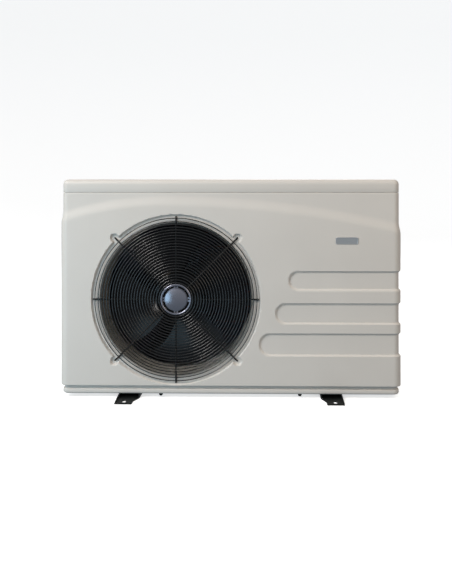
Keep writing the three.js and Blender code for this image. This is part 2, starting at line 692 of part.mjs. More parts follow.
function evaporatorCoil() {
  const bend = COIL_THICK + 14; // outside radius of the coil's corner
  const s = new THREE.Shape();
  s.moveTo(coilX1, coilY1);
  s.lineTo(coilX0 + bend, coilY1);
  s.absarc(coilX0 + bend, coilY1 - bend, bend, Math.PI / 2, Math.PI);
  s.lineTo(coilX0, coilLegY);
  s.lineTo(coilX0 + COIL_THICK, coilLegY);
  s.lineTo(coilX0 + COIL_THICK, coilY1 - bend);
  s.absarc(coilX0 + bend, coilY1 - bend, bend - COIL_THICK, Math.PI, Math.PI / 2, true);
  s.lineTo(coilX1, coilY1 - COIL_THICK);
  s.closePath();
  piece("evaporator_coil", prism("z", s, coilZ0, coilZ1, 5), finAluminium);
}

// The tube sheet at the coil's service end, with its brazed return bends.
function returnBends() {
  const x = coilX1 + GAP;
  const sheet = block(x, x + TUBE_SHEET, coilY1 - COIL_THICK, coilY1, coilZ0, coilZ1);
  const pitch = (gasZ - liquidZ) / (COIL_BENDS + 1);
  const half = BEND_REACH * 0.75;
  const reach = x + TUBE_SHEET + BEND_REACH;
  const bends = Array.from({ length: COIL_BENDS }, (_, i) => {
    const y = coilY1 - COIL_THICK * (i % 2 ? 0.3 : 0.7);
    const z = liquidZ + pitch * (i + 1);
    return bentPipe([
      [x + 0.5, y, z - half], [reach - half, y, z - half], [reach, y, z],
      [reach - half, y, z + half], [x + 0.5, y, z + half],
    ], BEND_TUBE, 6, 6);
  });
  piece("coil_return_bends", join(sheet, bends), copper);
}

function partitionPlate() {
  const [y0, y1] = [-insideY + 6, insideY - 6];
  const [z0, z1] = [bandZ + GAP, seamZ - 14];
  const plate = block(partitionX, partitionX + PARTITION_SHEET, y0, y1, z0, z1);
  const foot = block(partitionX, partitionX + 16, y0, y1, z0, z0 + PARTITION_SHEET);
  const holes = [[liquidZ, LIQUID_PIPE_R], [gasZ, GAS_PIPE_R]].map(([z, r]) =>
    at(rod(r + 3, partitionX - 1, partitionX + 4, 12, "x"), 0, coilY1 - COIL_THICK / 2, z));
  piece("partition_plate", cut(join(plate, foot), holes), galvanised);
}

const compressor = [partitionX + 98, -insideY + 96];
const compressorZ = bandZ + GAP + GROMMET_HEIGHT + GAP;
const compressorTop = compressorZ + 6 + COMPRESSOR_HEIGHT;
const grommetAngles = [90, 210, 330];

function compressorShell() {
  const group = station(compressor[0], compressor[1], compressorZ);
  const h = COMPRESSOR_HEIGHT;
  const can = turned([
    [0, 3], [COMPRESSOR_R - 12, 3], [COMPRESSOR_R, 16], [COMPRESSOR_R, h - 22],
    [COMPRESSOR_R - 8, h - 6], [COMPRESSOR_R - 26, h + 4], [0, h + 6],
  ], TURNED, "z");
  const lugs = grommetAngles.map((degrees) => {
    const lug = cut(
      block(0, GROMMET_CIRCLE + 14, -15, 15, 0, 4),
      at(rod(5, -1, 5, 8, "z"), GROMMET_CIRCLE, 0, 0));
    return lug.rotate([0, 0, degrees]);
  });
  const terminal = block(-17, 17, -COMPRESSOR_R - 9, -COMPRESSOR_R + 8, h - 80, h - 40);
  piece("compressor", join(can, lugs, terminal), blackSteel, group);
}

function grommets() {
  grommetAngles.forEach((degrees, i) => {
    const a = THREE.MathUtils.degToRad(degrees);
    const group = station(
      compressor[0] + GROMMET_CIRCLE * Math.cos(a), compressor[1] + GROMMET_CIRCLE * Math.sin(a),
      bandZ + GAP);
    const h = GROMMET_HEIGHT;
    const profile = [
      [0, 0], [GROMMET_R, 0], [GROMMET_R, 6], [GROMMET_R - 3, h / 2], [GROMMET_R - 1, h],
      [4.2, h], [4.2, h + 9], [0, h + 9],
    ];
    piece(`compressor_grommet_${i + 1}`, turned(profile, 12, "z"), rubber, group);
  });
}

const ACCUMULATOR_STANDOFF = 30; // from the compressor's shell
const accumulator = [compressor[0], compressor[1] + COMPRESSOR_R + ACCUMULATOR_R + ACCUMULATOR_STANDOFF];
const accumulatorZ = compressorZ + 60;
const accumulatorTop = accumulatorZ + ACCUMULATOR_HEIGHT;

function accumulatorBottle() {
  const h = ACCUMULATOR_HEIGHT;
  const r = ACCUMULATOR_R;
  const profile = [
    [0, 0], [r * 0.5, 3], [r, 18], [r, h - 18], [r * 0.5, h - 3], [0, h],
  ];
  const bottle = turned(profile, 20, "z");
  const shellY = -r - ACCUMULATOR_STANDOFF + 2 * GAP; // just clear of the compressor
  const outlet = bentPipe([
    [0, 0, 4], [0, 0, -14], [0, -8, -26], [0, -20, -30], [0, shellY, -30],
  ], GAS_PIPE_R, 8);
  const strap = block(-6, 6, shellY, -r + 3, h * 0.55, h * 0.55 + 16);
  piece("suction_accumulator", join(bottle, outlet, strap), blackSteel,
    station(accumulator[0], accumulator[1], accumulatorZ));
}

// A four-way reversing valve: a brass barrel lying along X with one port above and three below.
const valve = [compressor[0] + 10, 10, compressorTop + 96];
const VALVE_R = 15;
const VALVE_PORT = 20;
const valvePorts = [-26, 0, 26];

function reversingValve() {
  const barrel = turned([
    [0, -52], [9, -52], [VALVE_R, -46], [VALVE_R, 46], [9, 52], [0, 52],
  ], 16, "x");
  const top = rod(GAS_PIPE_R + 1.6, 8, VALVE_R + VALVE_PORT, 10, "z");
  const below = valvePorts.map((x) =>
    at(rod(GAS_PIPE_R + 1.6, -VALVE_R - VALVE_PORT, -8, 10, "z"), x, 0, 0));
  const pilot = at(rod(7, -18, 18, 10, "x"), 0, -VALVE_R - 3, 4);
  piece("reversing_valve", join(barrel, top, below, pilot), brass, station(...valve));
}

const expansion = [partitionX + 60, coilY1 - COIL_THICK / 2, liquidZ];

function expansionValve() {
  const body = turned([[0, -16], [9, -16], [9, 16], [0, 16]], 12, "x");
  const neck = rod(7, 4, 22, 12, "z");
  const motor = turned([[0, 20], [16, 20], [18, 24], [18, 50], [15, 54], [0, 54]], 16, "z");
  piece("expansion_valve", join(body, neck, motor), brass, station(...expansion));
}

const exchanger = [waterX, insideY - EXCHANGER_R - 70];
const exchangerZ = bandZ + GAP;
const exchangerTop = exchangerZ + EXCHANGER_HEIGHT;

function heatExchanger() {
  const h = EXCHANGER_HEIGHT;
  const r = EXCHANGER_R;
  const profile = [
    [0, 0], [r, 0], [r, 34], [r - 5, 38], [r - 5, h - 38], [r, h - 34], [r, h - 8], [r - 14, h], [0, h],
  ];
  const tank = turned(profile, TURNED, "z");
  const ports = [INLET_Z, OUTLET_Z].map((z) =>
    at(rod(PIPE_R + 3, r - 14, r + 8, TURNED), 0, 0, z - exchangerZ));
  piece("heat_exchanger", join(tank, ports), pvc, station(exchanger[0], exchanger[1], exchangerZ));
}

// Pipes end just short of the fitting that they are brazed into.
function refrigerantPipes() {
  const [cx, cy] = compressor;
  const [vx, vy, vz] = valve;
  const portZ = vz - VALVE_R - VALVE_PORT - GAP;
  const end = GAP + 0.2;
  const sheetFace = coilX1 + GAP + TUBE_SHEET + end;
  const inletZ = exchangerZ + 170; // where liquid leaves the exchanger's side
  piece("discharge_pipe", bentPipe([
    [cx, cy, compressorTop + end], [cx, cy, compressorTop + 40], [cx, cy - 8, vz + 20],
    [cx + 2, cy + 20, vz + 74], [vx, vy - 6, vz + 72], [vx, vy, vz + 54],
    [vx, vy, vz + VALVE_R + VALVE_PORT + end],
  ], GAS_PIPE_R, 16), copper);
  piece("suction_pipe", bentPipe([
    [vx + valvePorts[1], vy, portZ], [vx + valvePorts[1], vy, portZ - 14],
    [accumulator[0] + 6, accumulator[1] - 8, accumulatorTop + 44],
    [accumulator[0], accumulator[1], accumulatorTop + 16],
    [accumulator[0], accumulator[1], accumulatorTop + end],
  ], GAS_PIPE_R, 12), copper);
  piece("hot_gas_pipe", bentPipe([
    [vx + valvePorts[2], vy, portZ], [vx + valvePorts[2], vy, portZ - 12],
    [vx + valvePorts[2] + 16, vy + 4, portZ - 28], [vx + valvePorts[2] + 40, vy + 10, portZ],
    [exchanger[0] - EXCHANGER_R - 28, exchanger[1] - 8, exchangerTop + 20],
    [exchanger[0] - 40, exchanger[1], exchangerTop + 62],
    [exchanger[0] - 6, exchanger[1], exchangerTop + 52], [exchanger[0], exchanger[1], exchangerTop + 24],
    [exchanger[0], exchanger[1], exchangerTop + end],
  ], GAS_PIPE_R, 16), copper);
  piece("coil_gas_pipe", bentPipe([
    [vx + valvePorts[0], vy, portZ], [vx + valvePorts[0], vy, portZ - 14],
    [vx + valvePorts[0] - 24, vy + 30, portZ - 26], [partitionX + 46, expansion[1] - 20, vz],
    [partitionX + 44, expansion[1], gasZ - 30], [partitionX + 24, expansion[1], gasZ],
    [sheetFace, expansion[1], gasZ],
  ], GAS_PIPE_R, 16), copper);
  piece("liquid_pipe", bentPipe([
    [expansion[0] + 16 + end, expansion[1], expansion[2]],
    [expansion[0] + 40, expansion[1], expansion[2]],
    [expansion[0] + 70, expansion[1] - 24, inletZ - 70],
    [exchanger[0] - EXCHANGER_R - 40, exchanger[1] + 8, inletZ],
    [exchanger[0] - EXCHANGER_R - 16, exchanger[1], inletZ],
    [exchanger[0] - EXCHANGER_R + 5 - end, exchanger[1], inletZ],
  ], LIQUID_PIPE_R, 12), copper);
  piece("coil_liquid_pipe", bentPipe([
    [expansion[0] - 16 - end, expansion[1], expansion[2]],
    [partitionX + 20, expansion[1], expansion[2]],
    [sheetFace, expansion[1], expansion[2]],
  ], LIQUID_PIPE_R, 4), copper);
}

// ---- Water connections ----------------------------------------------------------------------------
const pipeStartY = exchanger[1] + EXCHANGER_R + 8 + GAP;
const headY = recessedY + 6.5; // where the threaded head starts outside the rear panel
const headEndY = headY + THREAD_LENGTH;
const sealY = headEndY + 0.3;
const tailY = sealY + SEAL_THICK + 0.3;
const tailEndY = footEndY - 0.5;
const PADDLE_Y = pipeStartY + 30;
const STEM_R = 11;
const STEM_BORE = 8.5;
const STEM_HEIGHT = BORE_R + 18;

function waterPipe(name, z, withStem) {
  const group = station(waterX, 0, z);
  let body = turned([
    [BORE_R, pipeStartY], [PIPE_R, pipeStartY], [PIPE_R, headY], [THREAD_R, headY],
    [THREAD_R, headEndY], [BORE_R, headEndY],
  ], TURNED);
  if (withStem) {
    const stem = at(rod(STEM_R, BORE_R + 1, STEM_HEIGHT, 16, "z"), 0, PADDLE_Y, 0);
    const bore = at(rod(STEM_BORE, BORE_R - 4, STEM_HEIGHT + 1, 16, "z"), 0, PADDLE_Y, 0);
    body = cut(join(body, stem), bore);
  }
  piece(name, body, pvc, group);
}

// One union: a flat seal, the loose tail with its pipe socket, and the ribbed nut over both.
function union(which, z) {
  const group = station(waterX, 0, z);
  piece(`${which}_seal`, ring(BORE_R + 3, THREAD_R - 3, sealY, sealY + SEAL_THICK, 20), rubber, group);
  const socketY = tailEndY - SOCKET_DEPTH;
  piece(`${which}_union_tail`, turned([
    [BORE_R, tailY], [THREAD_R, tailY], [THREAD_R, tailY + TAIL_FLANGE],
    [TAIL_R, tailY + TAIL_FLANGE], [TAIL_R, tailEndY], [PIPE_R + 0.2, tailEndY],
    [PIPE_R + 0.2, socketY], [BORE_R, socketY],
  ], TURNED), pvc, group);
  const lipY = tailY + TAIL_FLANGE + 0.6;
  const nutY = lipY + 5 - NUT_LENGTH;
  const [loose, neck] = [THREAD_R + 0.8, TAIL_R + 0.8];
  const sleeve = turned([
    [loose, nutY], [NUT_R - 3, nutY], [NUT_R - 3, lipY + 3], [NUT_R - 6, lipY + 5],
    [neck, lipY + 5], [neck, lipY], [loose, lipY],
  ], TURNED);
  const ribs = Array.from({ length: NUT_RIBS }, (_, i) =>
    block(NUT_R - 5, NUT_R, nutY + 1, lipY + 2, -2.4, 2.4).rotate([0, (360 / NUT_RIBS) * i, 0]));
  piece(`${which}_union_nut`, join(sleeve, ribs), blackPlastic, group);
}

// The flow switch: a sealed box on the inlet's stem and a paddle hung in the water.
function flowSwitch() {
  const group = station(waterX, PADDLE_Y, INLET_Z);
  const box = block(-15, 15, -15, 15, STEM_HEIGHT + GAP, STEM_HEIGHT + 40);
  piece("flow_switch", box, blackPlastic, group);
  const pivot = BORE_R + 7;
  const lever = block(-4, 4, -1, 1, pivot - 30, pivot + 6);
  const vane = block(-9, 9, -1, 1, pivot - 42, pivot - 14);
  const axle = at(rod(2, -STEM_BORE + 0.5, STEM_BORE - 0.5, 8, "x"), 0, 0, pivot);
  piece("flow_paddle", join(lever, vane, axle), steel, group);
}

// ---- Electrical -----------------------------------------------------------------------------------
const LID_LAP = 2; // how far the box's lid overhangs its walls
const BOX_SHEET = 1.5;
const boxX0 = partitionX + PARTITION_SHEET + GAP + LID_LAP; // the box's lid hooks beside the partition
const boxX1 = insideX - 34;
const boxY0 = -insideY + 12;
const boxY1 = boxY0 + 128;
const boxZ1 = seamZ - 22;
const boxZ0 = boxZ1 - 66;

function controlBox() {
  const t = BOX_SHEET;
  const tray = cut(
    block(boxX0, boxX1, boxY0, boxY1, boxZ0, boxZ1),
    block(boxX0 + t, boxX1 - t, boxY0 + t, boxY1 - t, boxZ0 + t, boxZ1 + 1));
  piece("control_box", tray, galvanised);
  const lap = LID_LAP;
  const lid = cut(
    block(boxX0 - lap, boxX1 + lap, boxY0 - lap, boxY1 + lap, boxZ1 - 10, boxZ1 + lap),
    block(boxX0 - GAP, boxX1 + GAP, boxY0 - GAP, boxY1 + GAP, boxZ1 - 11, boxZ1 + GAP));
  piece("control_box_lid", lid, galvanised);
}

// The control board, with its relays, choke, terminal strip and corner spacers.
function controlBoard() {
  const [x, y, z] = [boxX0 + 14, boxY0 + 12, boxZ0 + 8];
  const [x1, y1] = [boxX1 - 14, boxY1 - 12];
  const part = (dx, dy, width, length, height) =>
    block(x + dx, x + dx + width, y + dy, y + dy + length, z + 1, z + height);
  const parts = [
    part(10, 10, 50, 35, 30), part(80, 12, 22, 22, 34), part(110, 12, 22, 22, 34),
    part(12, 72, 138, 16, 16), part(150, 20, 26, 32, 22),
  ];
  const corners = [[x + 2, y + 2], [x1 - 10, y + 2], [x + 2, y1 - 10], [x1 - 10, y1 - 10]];
  const spacers = corners.map(([cx, cy]) =>
    block(cx, cx + 8, cy, cy + 8, boxZ0 + BOX_SHEET + GAP, z + 1));
  piece("control_board", join(block(x, x1, y, y1, z, z + 2), parts, spacers), board);
}

// The display: a tray let into the right-hand side, three buttons and a hinged clear door.
const trayFaceX = WIDTH / 2 - 8; // the face that carries the buttons
const doorX = WIDTH / 2 - 0.8; // outside of the shut door
const hingeZ = DISPLAY_HEIGHT / 2 - 9.5; // low enough for the open door to clear the tray's rim
const HINGE_R = 1.5;

function display() {
  const group = station(0, DISPLAY_Y, sideMidZ);
  const [w, h] = [DISPLAY_WIDTH / 2 - GAP, DISPLAY_HEIGHT / 2 - GAP];
  const body = prism("x", roundedRectangle(w, h, 7.6), WIDTH / 2 - DISPLAY_DEPTH, WIDTH / 2 - 0.3, 3);
  const face = prism("x", roundedRectangle(w - 3, h - 3, 5), trayFaceX, WIDTH / 2, 3);
  const wells = buttonPlaces().map((y) =>
    at(rod(BUTTON_R + 0.5, trayFaceX - 5, trayFaceX + 1, 16, "x"), 0, y, -22));
  const hingeBore = at(rod(HINGE_R + 0.25, -w + 1, w - 1, 12), doorX - HINGE_R - 1.2, 0, hingeZ);
  piece("display_housing", cut(body, face, wells, hingeBore), blackPlastic, group);
  const screen = block(trayFaceX + GAP, trayFaceX + 2, -34, 34, -6, 22);
  piece("display_screen", screen, clear, group);
  const pins = at(rod(HINGE_R, -w + 1.4, w - 1.4, 12), doorX - HINGE_R - 1.2, 0, hingeZ);
  const barrel = at(rod(HINGE_R + 1.2, -w + 8, w - 8, 12), doorX - HINGE_R - 1.2, 0, hingeZ);
  const [low, high] = [-h + 3.5, hingeZ - 1];
  const leaf = prism("x", roundedRectangle(w - 3.5, (high - low) / 2, 4, 0, (high + low) / 2),
    doorX - DOOR_THICK, doorX, 2);
  piece("display_door", join(leaf, barrel, pins), clear, group);
}

function buttonPlaces() {
  return Array.from({ length: BUTTON_COUNT }, (_, i) => (i - (BUTTON_COUNT - 1) / 2) * BUTTON_PITCH);
}

function buttons() {
  buttonPlaces().forEach((y, i) => {
    const group = station(trayFaceX, DISPLAY_Y + y, sideMidZ - 22);
    const r = BUTTON_R;
    const profile = [[0, -3], [r, -3], [r, BUTTON_HEIGHT - 0.8], [r - 0.8, BUTTON_HEIGHT], [0, BUTTON_HEIGHT]];
    piece(`display_button_${i + 1}`, turned(profile, 16, "x"), white, group);
  });
}

// A round gauge let into the right-hand side, for the refrigerant pressure.
function pressureGauge() {
  const group = station(WIDTH / 2, GAUGE_Y, sideMidZ);
  const dial = -7; // the dial's face, behind the casing's side
  const profile = [
    [0, -GAUGE_DEPTH], [GAUGE_R, -GAUGE_DEPTH], [GAUGE_R, -0.4], [GAUGE_R - 2.6, -0.4],
    [GAUGE_R - 2.6, dial], [0, dial],
  ];
  const spindleHole = rod(1.6, dial - 6, dial + 1, 8, "x");
  piece("gauge_case", cut(turned(profile, TURNED, "x"), spindleHole), steel, group);
  piece("gauge_lens", rod(GAUGE_R - 3, -3, -1, TURNED, "x"), clear, group);
  const needle = join(
    rod(1.2, dial - 4, dial + 2.2, 8, "x"),
    rod(3.4, dial + 0.6, dial + 2.2, 10, "x"),
    prism("x", polygon([[-1.6, -8], [1.6, -8], [0.5, GAUGE_R - 9], [-0.5, GAUGE_R - 9]]), dial + 0.8, dial + 1.6));
  piece("gauge_needle", needle.rotate([135, 0, 0]), signal, group);
}

function cableGland() {
  const group = station(glandX, 0, glandZ);
  const profile = [
    [6, insideY - 12], [9, insideY - 12], [9, recessedY + 0.4], [13, recessedY + 0.4],
    [13, recessedY + 8], [11.5, recessedY + 9], [11.5, recessedY + 19], [9, recessedY + 24],
    [6, recessedY + 24],
  ];
  piece("cable_gland", turned(profile, 12), blackPlastic, group);
}

frontPanel();
leftPanel();
rightPanel();
rearPanel();
coilGuard();
topCover();
basePan();
frontScrews();
drainNozzle();
[-1, 1].forEach(footRail);
fanShroud();
fanGuard();
motorFlange();
statorCore();
bearings();
rotorCan();
impeller();
evaporatorCoil();
returnBends();
partitionPlate();
compressorShell();
grommets();
accumulatorBottle();
reversingValve();
expansionValve();
heatExchanger();
refrigerantPipes();
waterPipe("water_inlet_pipe", INLET_Z, true);
waterPipe("water_outlet_pipe", OUTLET_Z, false);
union("inlet", INLET_Z);
union("outlet", OUTLET_Z);
flowSwitch();
controlBox();
controlBoard();
display();
buttons();
pressureGauge();
cableGland();

export default unit;
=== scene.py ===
# %% [markdown]
# # A pool heat pump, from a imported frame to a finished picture
# The frame holds every part of the machine at its real size, as plain faceted solids. This file gives
# each visible part its real surface: soft moulded edges on the casing, round wire on the guard, blades with
# a true section, and a finish for every material. It is read from top to bottom, one small step at a time.

# %% Load the frame
import math

import bmesh
import bpy
import numpy as np
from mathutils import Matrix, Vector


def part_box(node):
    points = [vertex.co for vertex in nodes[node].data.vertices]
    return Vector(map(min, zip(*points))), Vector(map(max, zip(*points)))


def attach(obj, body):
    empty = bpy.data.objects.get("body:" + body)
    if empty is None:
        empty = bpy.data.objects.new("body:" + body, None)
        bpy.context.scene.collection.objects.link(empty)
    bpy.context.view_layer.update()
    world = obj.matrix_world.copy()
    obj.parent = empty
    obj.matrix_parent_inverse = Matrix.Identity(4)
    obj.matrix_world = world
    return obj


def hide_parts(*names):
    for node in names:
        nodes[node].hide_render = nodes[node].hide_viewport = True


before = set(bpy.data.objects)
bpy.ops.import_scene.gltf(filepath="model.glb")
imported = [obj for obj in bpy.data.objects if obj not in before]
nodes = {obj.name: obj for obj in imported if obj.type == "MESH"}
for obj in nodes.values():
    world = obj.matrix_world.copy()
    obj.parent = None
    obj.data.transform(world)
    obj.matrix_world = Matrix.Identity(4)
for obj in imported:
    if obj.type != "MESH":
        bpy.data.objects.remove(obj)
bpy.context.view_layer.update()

# %% [markdown]
# ## Meshes from arrays
# A surface here is a grid: an array of points with two directions, worked out in millimetres all at once. A
# small family of helpers turns such grids into meshes. Points that coincide, as they do at a pole or along a
# seam, are merged, so every closed shape really is closed. Doing it this way keeps each part's shape as one
# formula that can be read and changed.

# %% Grid helpers
MM = 0.001
MERGE = 4e-6  # points nearer than this, in metres, are one point


def grid(points):
    """Square faces over an array of points with two directions, as (points, faces)."""
    rows, columns = points.shape[:2]
    ids = np.arange(rows * columns).reshape(rows, columns)
    faces = np.stack([ids[:-1, :-1], ids[1:, :-1], ids[1:, 1:], ids[:-1, 1:]], -1).reshape(-1, 4)
    return points.reshape(-1, 3), [faces]


def circle_angles(count):
    """Angles all the way round, the last equal to the first."""
    return np.linspace(0, 2 * math.pi, count + 1)


def link(name, mesh):
    """Puts a mesh in the scene as an object at the origin."""
    obj = bpy.data.objects.new(name, mesh)
    bpy.context.scene.collection.objects.link(obj)
    return obj


def shade(mesh, crease):
    """Smooth shading, with a hard line only where faces meet at more than crease degrees."""
    mesh.shade_smooth()
    mesh.set_sharp_from_angle(angle=math.radians(crease))


def thicken(obj, wall):
    """Gives an open surface a wall towards its back, and makes the result its mesh."""
    solidify = obj.modifiers.new("wall", "SOLIDIFY")
    solidify.thickness = wall * MM
    solidify.offset = -1
    shaped = bpy.data.meshes.new_from_object(obj.evaluated_get(bpy.context.evaluated_depsgraph_get()))
    obj.modifiers.clear()
    obj.data = shaped


def joined(name, parts, material, closed):
    """One mesh from grids in millimetres. Points that meet merge, and a closed mesh is faced outwards."""
    start, faces = 0, []
    for points, blocks in parts:
        for block in blocks:
            faces += (block + start).tolist()
        start += len(points)
    mesh = bpy.data.meshes.new(name)
    mesh.from_pydata((np.vstack([points for points, _ in parts]) * MM).tolist(), [], faces)
    work = bmesh.new()
    work.from_mesh(mesh)
    bmesh.ops.remove_doubles(work, verts=work.verts, dist=MERGE)
    if closed:
        bmesh.ops.recalc_face_normals(work, faces=work.faces)
    work.to_mesh(mesh)
    work.free()
    mesh.materials.append(material)
    return mesh


def piece(name, parts, material, body="unit", stands_for=(), wall=0, crease=38):
    """One finished piece from grids in millimetres. A piece with a wall is an open surface that faces out."""
    obj = link(name, joined(name, parts, material, closed=not wall))
    if wall:
        thicken(obj, wall)
    shade(obj.data, crease)
    if stands_for:
        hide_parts(*stands_for)
    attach(obj, body)
    print(name, len(obj.data.polygons), "faces")


# %% [markdown]
# ## Finishes
# Nearly every finish on this machine is one of two kinds: a moulded or painted skin, or bare metal. Both
# need the same three things to look real: a colour that drifts a little over the part, a roughness that
# drifts too, and a fine bump. One function wires that up from object coordinates, so the grain has the same
# size on every piece, and each finish is then a line of values.

# %% Material helpers
def linear(r, g, b):
    """Screen colour from 0 to 255 as linear light."""
    c = np.array([r, g, b]) / 255
    return [*np.where(c <= 0.04045, c / 12.92, ((c + 0.055) / 1.055) ** 2.4), 1.0]


def noise(tree, place, scale, detail=3):
    """A noise texture of so many cells to the metre."""
    node = tree.nodes.new("ShaderNodeTexNoise")
    node.inputs["Scale"].default_value = scale
    node.inputs["Detail"].default_value = detail
    tree.links.new(place, node.inputs["Vector"])
    return node.outputs["Fac"]


def remap(tree, value, low, high, start=0.3, end=0.7):
    """Carries a value from start..end to low..high."""
    node = tree.nodes.new("ShaderNodeMapRange")
    for socket, number in (("From Min", start), ("From Max", end), ("To Min", low), ("To Max", high)):
        node.inputs[socket].default_value = number
    tree.links.new(value, node.inputs["Value"])
    return node.outputs["Result"]


def blend(tree, factor, first, second):
    """Mixes two colours, each a fixed colour or the output of another node."""
    node = tree.nodes.new("ShaderNodeMix")
    node.data_type = "RGBA"
    tree.links.new(factor, node.inputs["Factor"])
    for socket, colour in (("A", first), ("B", second)):
        target = [s for s in node.inputs if s.name == socket and s.type == "RGBA"][0]
        if isinstance(colour, bpy.types.NodeSocket):
            tree.links.new(colour, target)
        else:
            target.default_value = colour
    return [s for s in node.outputs if s.type == "RGBA"][0]


def finish(name, colour, rough, metal=0.0, drift=0.06, drift_scale=6, grain=900, grain_depth=0.02,
           rough_drift=0.06, coat=0.0, specular=0.5):
    """A skin: base colour, roughness and a fine bump, each drifting a little over the part."""
    material = bpy.data.materials.new(name)
    material.use_nodes = True
    tree = material.node_tree
    shader = tree.nodes["Principled BSDF"]
    place = tree.nodes.new("ShaderNodeTexCoord").outputs["Object"]
    base = linear(*colour)
    dark = [c * (1 - drift) for c in base[:3]] + [1]
    light = [min(c * (1 + drift), 1) for c in base[:3]] + [1]
    slow = noise(tree, place, drift_scale, 5)
    tree.links.new(blend(tree, remap(tree, slow, 0, 1), dark, light), shader.inputs["Base Color"])
    patches = noise(tree, place, drift_scale * 4, 4)
    tree.links.new(remap(tree, patches, rough - rough_drift, rough + rough_drift), shader.inputs["Roughness"])
    bump = tree.nodes.new("ShaderNodeBump")
    bump.inputs["Strength"].default_value = 1.0
    bump.inputs["Distance"].default_value = grain_depth * MM
    tree.links.new(noise(tree, place, grain, 2), bump.inputs["Height"])
    tree.links.new(bump.outputs["Normal"], shader.inputs["Normal"])
    shader.inputs["Metallic"].default_value = metal
    shader.inputs["Coat Weight"].default_value = coat
    shader.inputs["Coat Roughness"].default_value = 0.12
    shader.inputs["Specular IOR Level"].default_value = specular
    return material


# %% [markdown]
# The casing is a warm light grey plastic with a satin grain. The guard and feet are powder coated black,
# the fan is glossy black plastic, and the motor's flange is a grey casting. The shroud is the casing's
# plastic
# coloured a darker grey: painted shade for the inside of the duct.

# %% The plain finishes
casing = finish("casing_plastic", (207, 202, 196), 0.46, drift=0.02, grain=1400, grain_depth=0.03)
# Painted shade: the shroud is the casing's plastic, coloured a darker grey to stand in for the shade inside
# the duct.
shroud_painted_shade = finish("shroud_plastic_painted_shade", (160, 157, 150), 0.4, drift=0.03, grain=1400, grain_depth=0.03)
wire = finish("guard_coating", (9, 9, 11), 0.26, drift=0.2, grain=2600, grain_depth=0.02, coat=0.4,
              specular=0.7)
# Painted shade: the arms use the rings' coating in a darker, duller copy, so they stay black where light
# falls on them.
arm_wire_painted_shade = finish("arm_coating_painted_shade", (5, 5, 6), 0.5, drift=0.2, grain=2600, grain_depth=0.03, specular=0.25)
black_paint = finish("black_paint", (9, 12, 11), 0.45, drift=0.25, drift_scale=30, grain=1800,
                     grain_depth=0.05, specular=0.3)
blade_black = finish("fan_plastic", (5, 5, 9), 0.2, drift=0.15, grain=1200, grain_depth=0.01, specular=0.24)
cast_grey = finish("motor_paint", (132, 134, 146), 0.27, metal=0.8, drift=0.12, grain=1500, grain_depth=0.05)
bright = finish("bright_steel", (186, 188, 190), 0.28, metal=1.0, drift=0.08, grain=3000, grain_depth=0.01)
zinc = finish("galvanised", (160, 164, 166), 0.42, metal=0.9, drift=0.14, drift_scale=60, grain_depth=0.02)
copper = finish("copper_tube", (196, 118, 82), 0.28, metal=1.0, drift=0.16, drift_scale=40, grain_depth=0.01)
brass = finish("brass", (196, 164, 96), 0.3, metal=1.0, drift=0.1, drift_scale=50, grain_depth=0.01)
pipe_grey = finish("pipe_plastic", (62, 66, 70), 0.38, drift=0.1, grain=1600, grain_depth=0.02)
rubber = finish("rubber", (26, 26, 26), 0.75, drift=0.2, grain=2200, grain_depth=0.06)
hard_black = finish("black_moulding", (22, 23, 26), 0.36, drift=0.15, grain=2000, grain_depth=0.04)
button_white = finish("button_plastic", (232, 232, 226), 0.35, drift=0.03, grain=1800, grain_depth=0.02)
signal_red = finish("pointer_lacquer", (176, 42, 28), 0.3, drift=0.06, grain_depth=0.01)
fin_metal = finish("fin_aluminium", (150, 156, 162), 0.42, metal=0.55, drift=0.16, drift_scale=18, grain=1200,
                   grain_depth=0.04)
board_green = finish("circuit_board", (28, 92, 54), 0.4, drift=0.3, drift_scale=220, grain=700,
                     grain_depth=0.2)
nameplate_grey = finish("nameplate_metal", (190, 194, 198), 0.3, metal=0.8, drift=0.06, grain=2400)


# %% [markdown]
# Two pieces are clear: the flap over the display and the gauge's lens. Real polycarbonate is a little
# smoked and never perfectly clean, so the roughness drifts.

# %% Clear plastic
def clear_finish(name, tint, rough):
    """Clear plastic: full transmission with a tint, and a little haze that drifts."""
    material = finish(name, tint, rough, drift=0.02, rough_drift=0.03, grain_depth=0.005)
    shader = material.node_tree.nodes["Principled BSDF"]
    shader.inputs["Transmission Weight"].default_value = 0.9
    shader.inputs["IOR"].default_value = 1.5
    return material


smoked = clear_finish("smoked_clear", (170, 178, 184), 0.08)
lens = clear_finish("lens_clear", (240, 244, 244), 0.05)
screen = finish("display_glass", (58, 70, 66), 0.12, drift=0.08, drift_scale=90, grain_depth=0.0, coat=1.0)
print(len(bpy.data.materials), "finishes")

# %% [markdown]
# ## The casing
# The four walls are one idea: a sheet that goes round the corners, pushed in by a depth that depends on the
# place. The sheet is laid out flat with u running right from the middle of the front and z running up. Depth
# is zero on the proud lower face. It is 5.5 mm above the arch and in the three flutes, and 7 mm in the
# round recess behind the guard. Each edge is a smooth ramp, which is what a mould with draft gives, and what
# makes the soft highlights. The lid and the pan are rings round the same outline.

# %% The casing's measures
front_low, front_high = np.array(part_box("front_panel")) / MM
HALF_W, HALF_D = front_high[0], -front_low[1]
PANEL_LOW, PANEL_HIGH = front_low[2], front_high[2]
CORNER = 24
STEP = 5.5
SKIN = 4
GAP = 0.4  # between two parts that meet
SEAM_Y = front_high[1]
FAN_X, FAN_Z = (np.array(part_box("fan_guard")[0]) + np.array(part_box("fan_guard")[1]))[[0, 2]] / 2 / MM
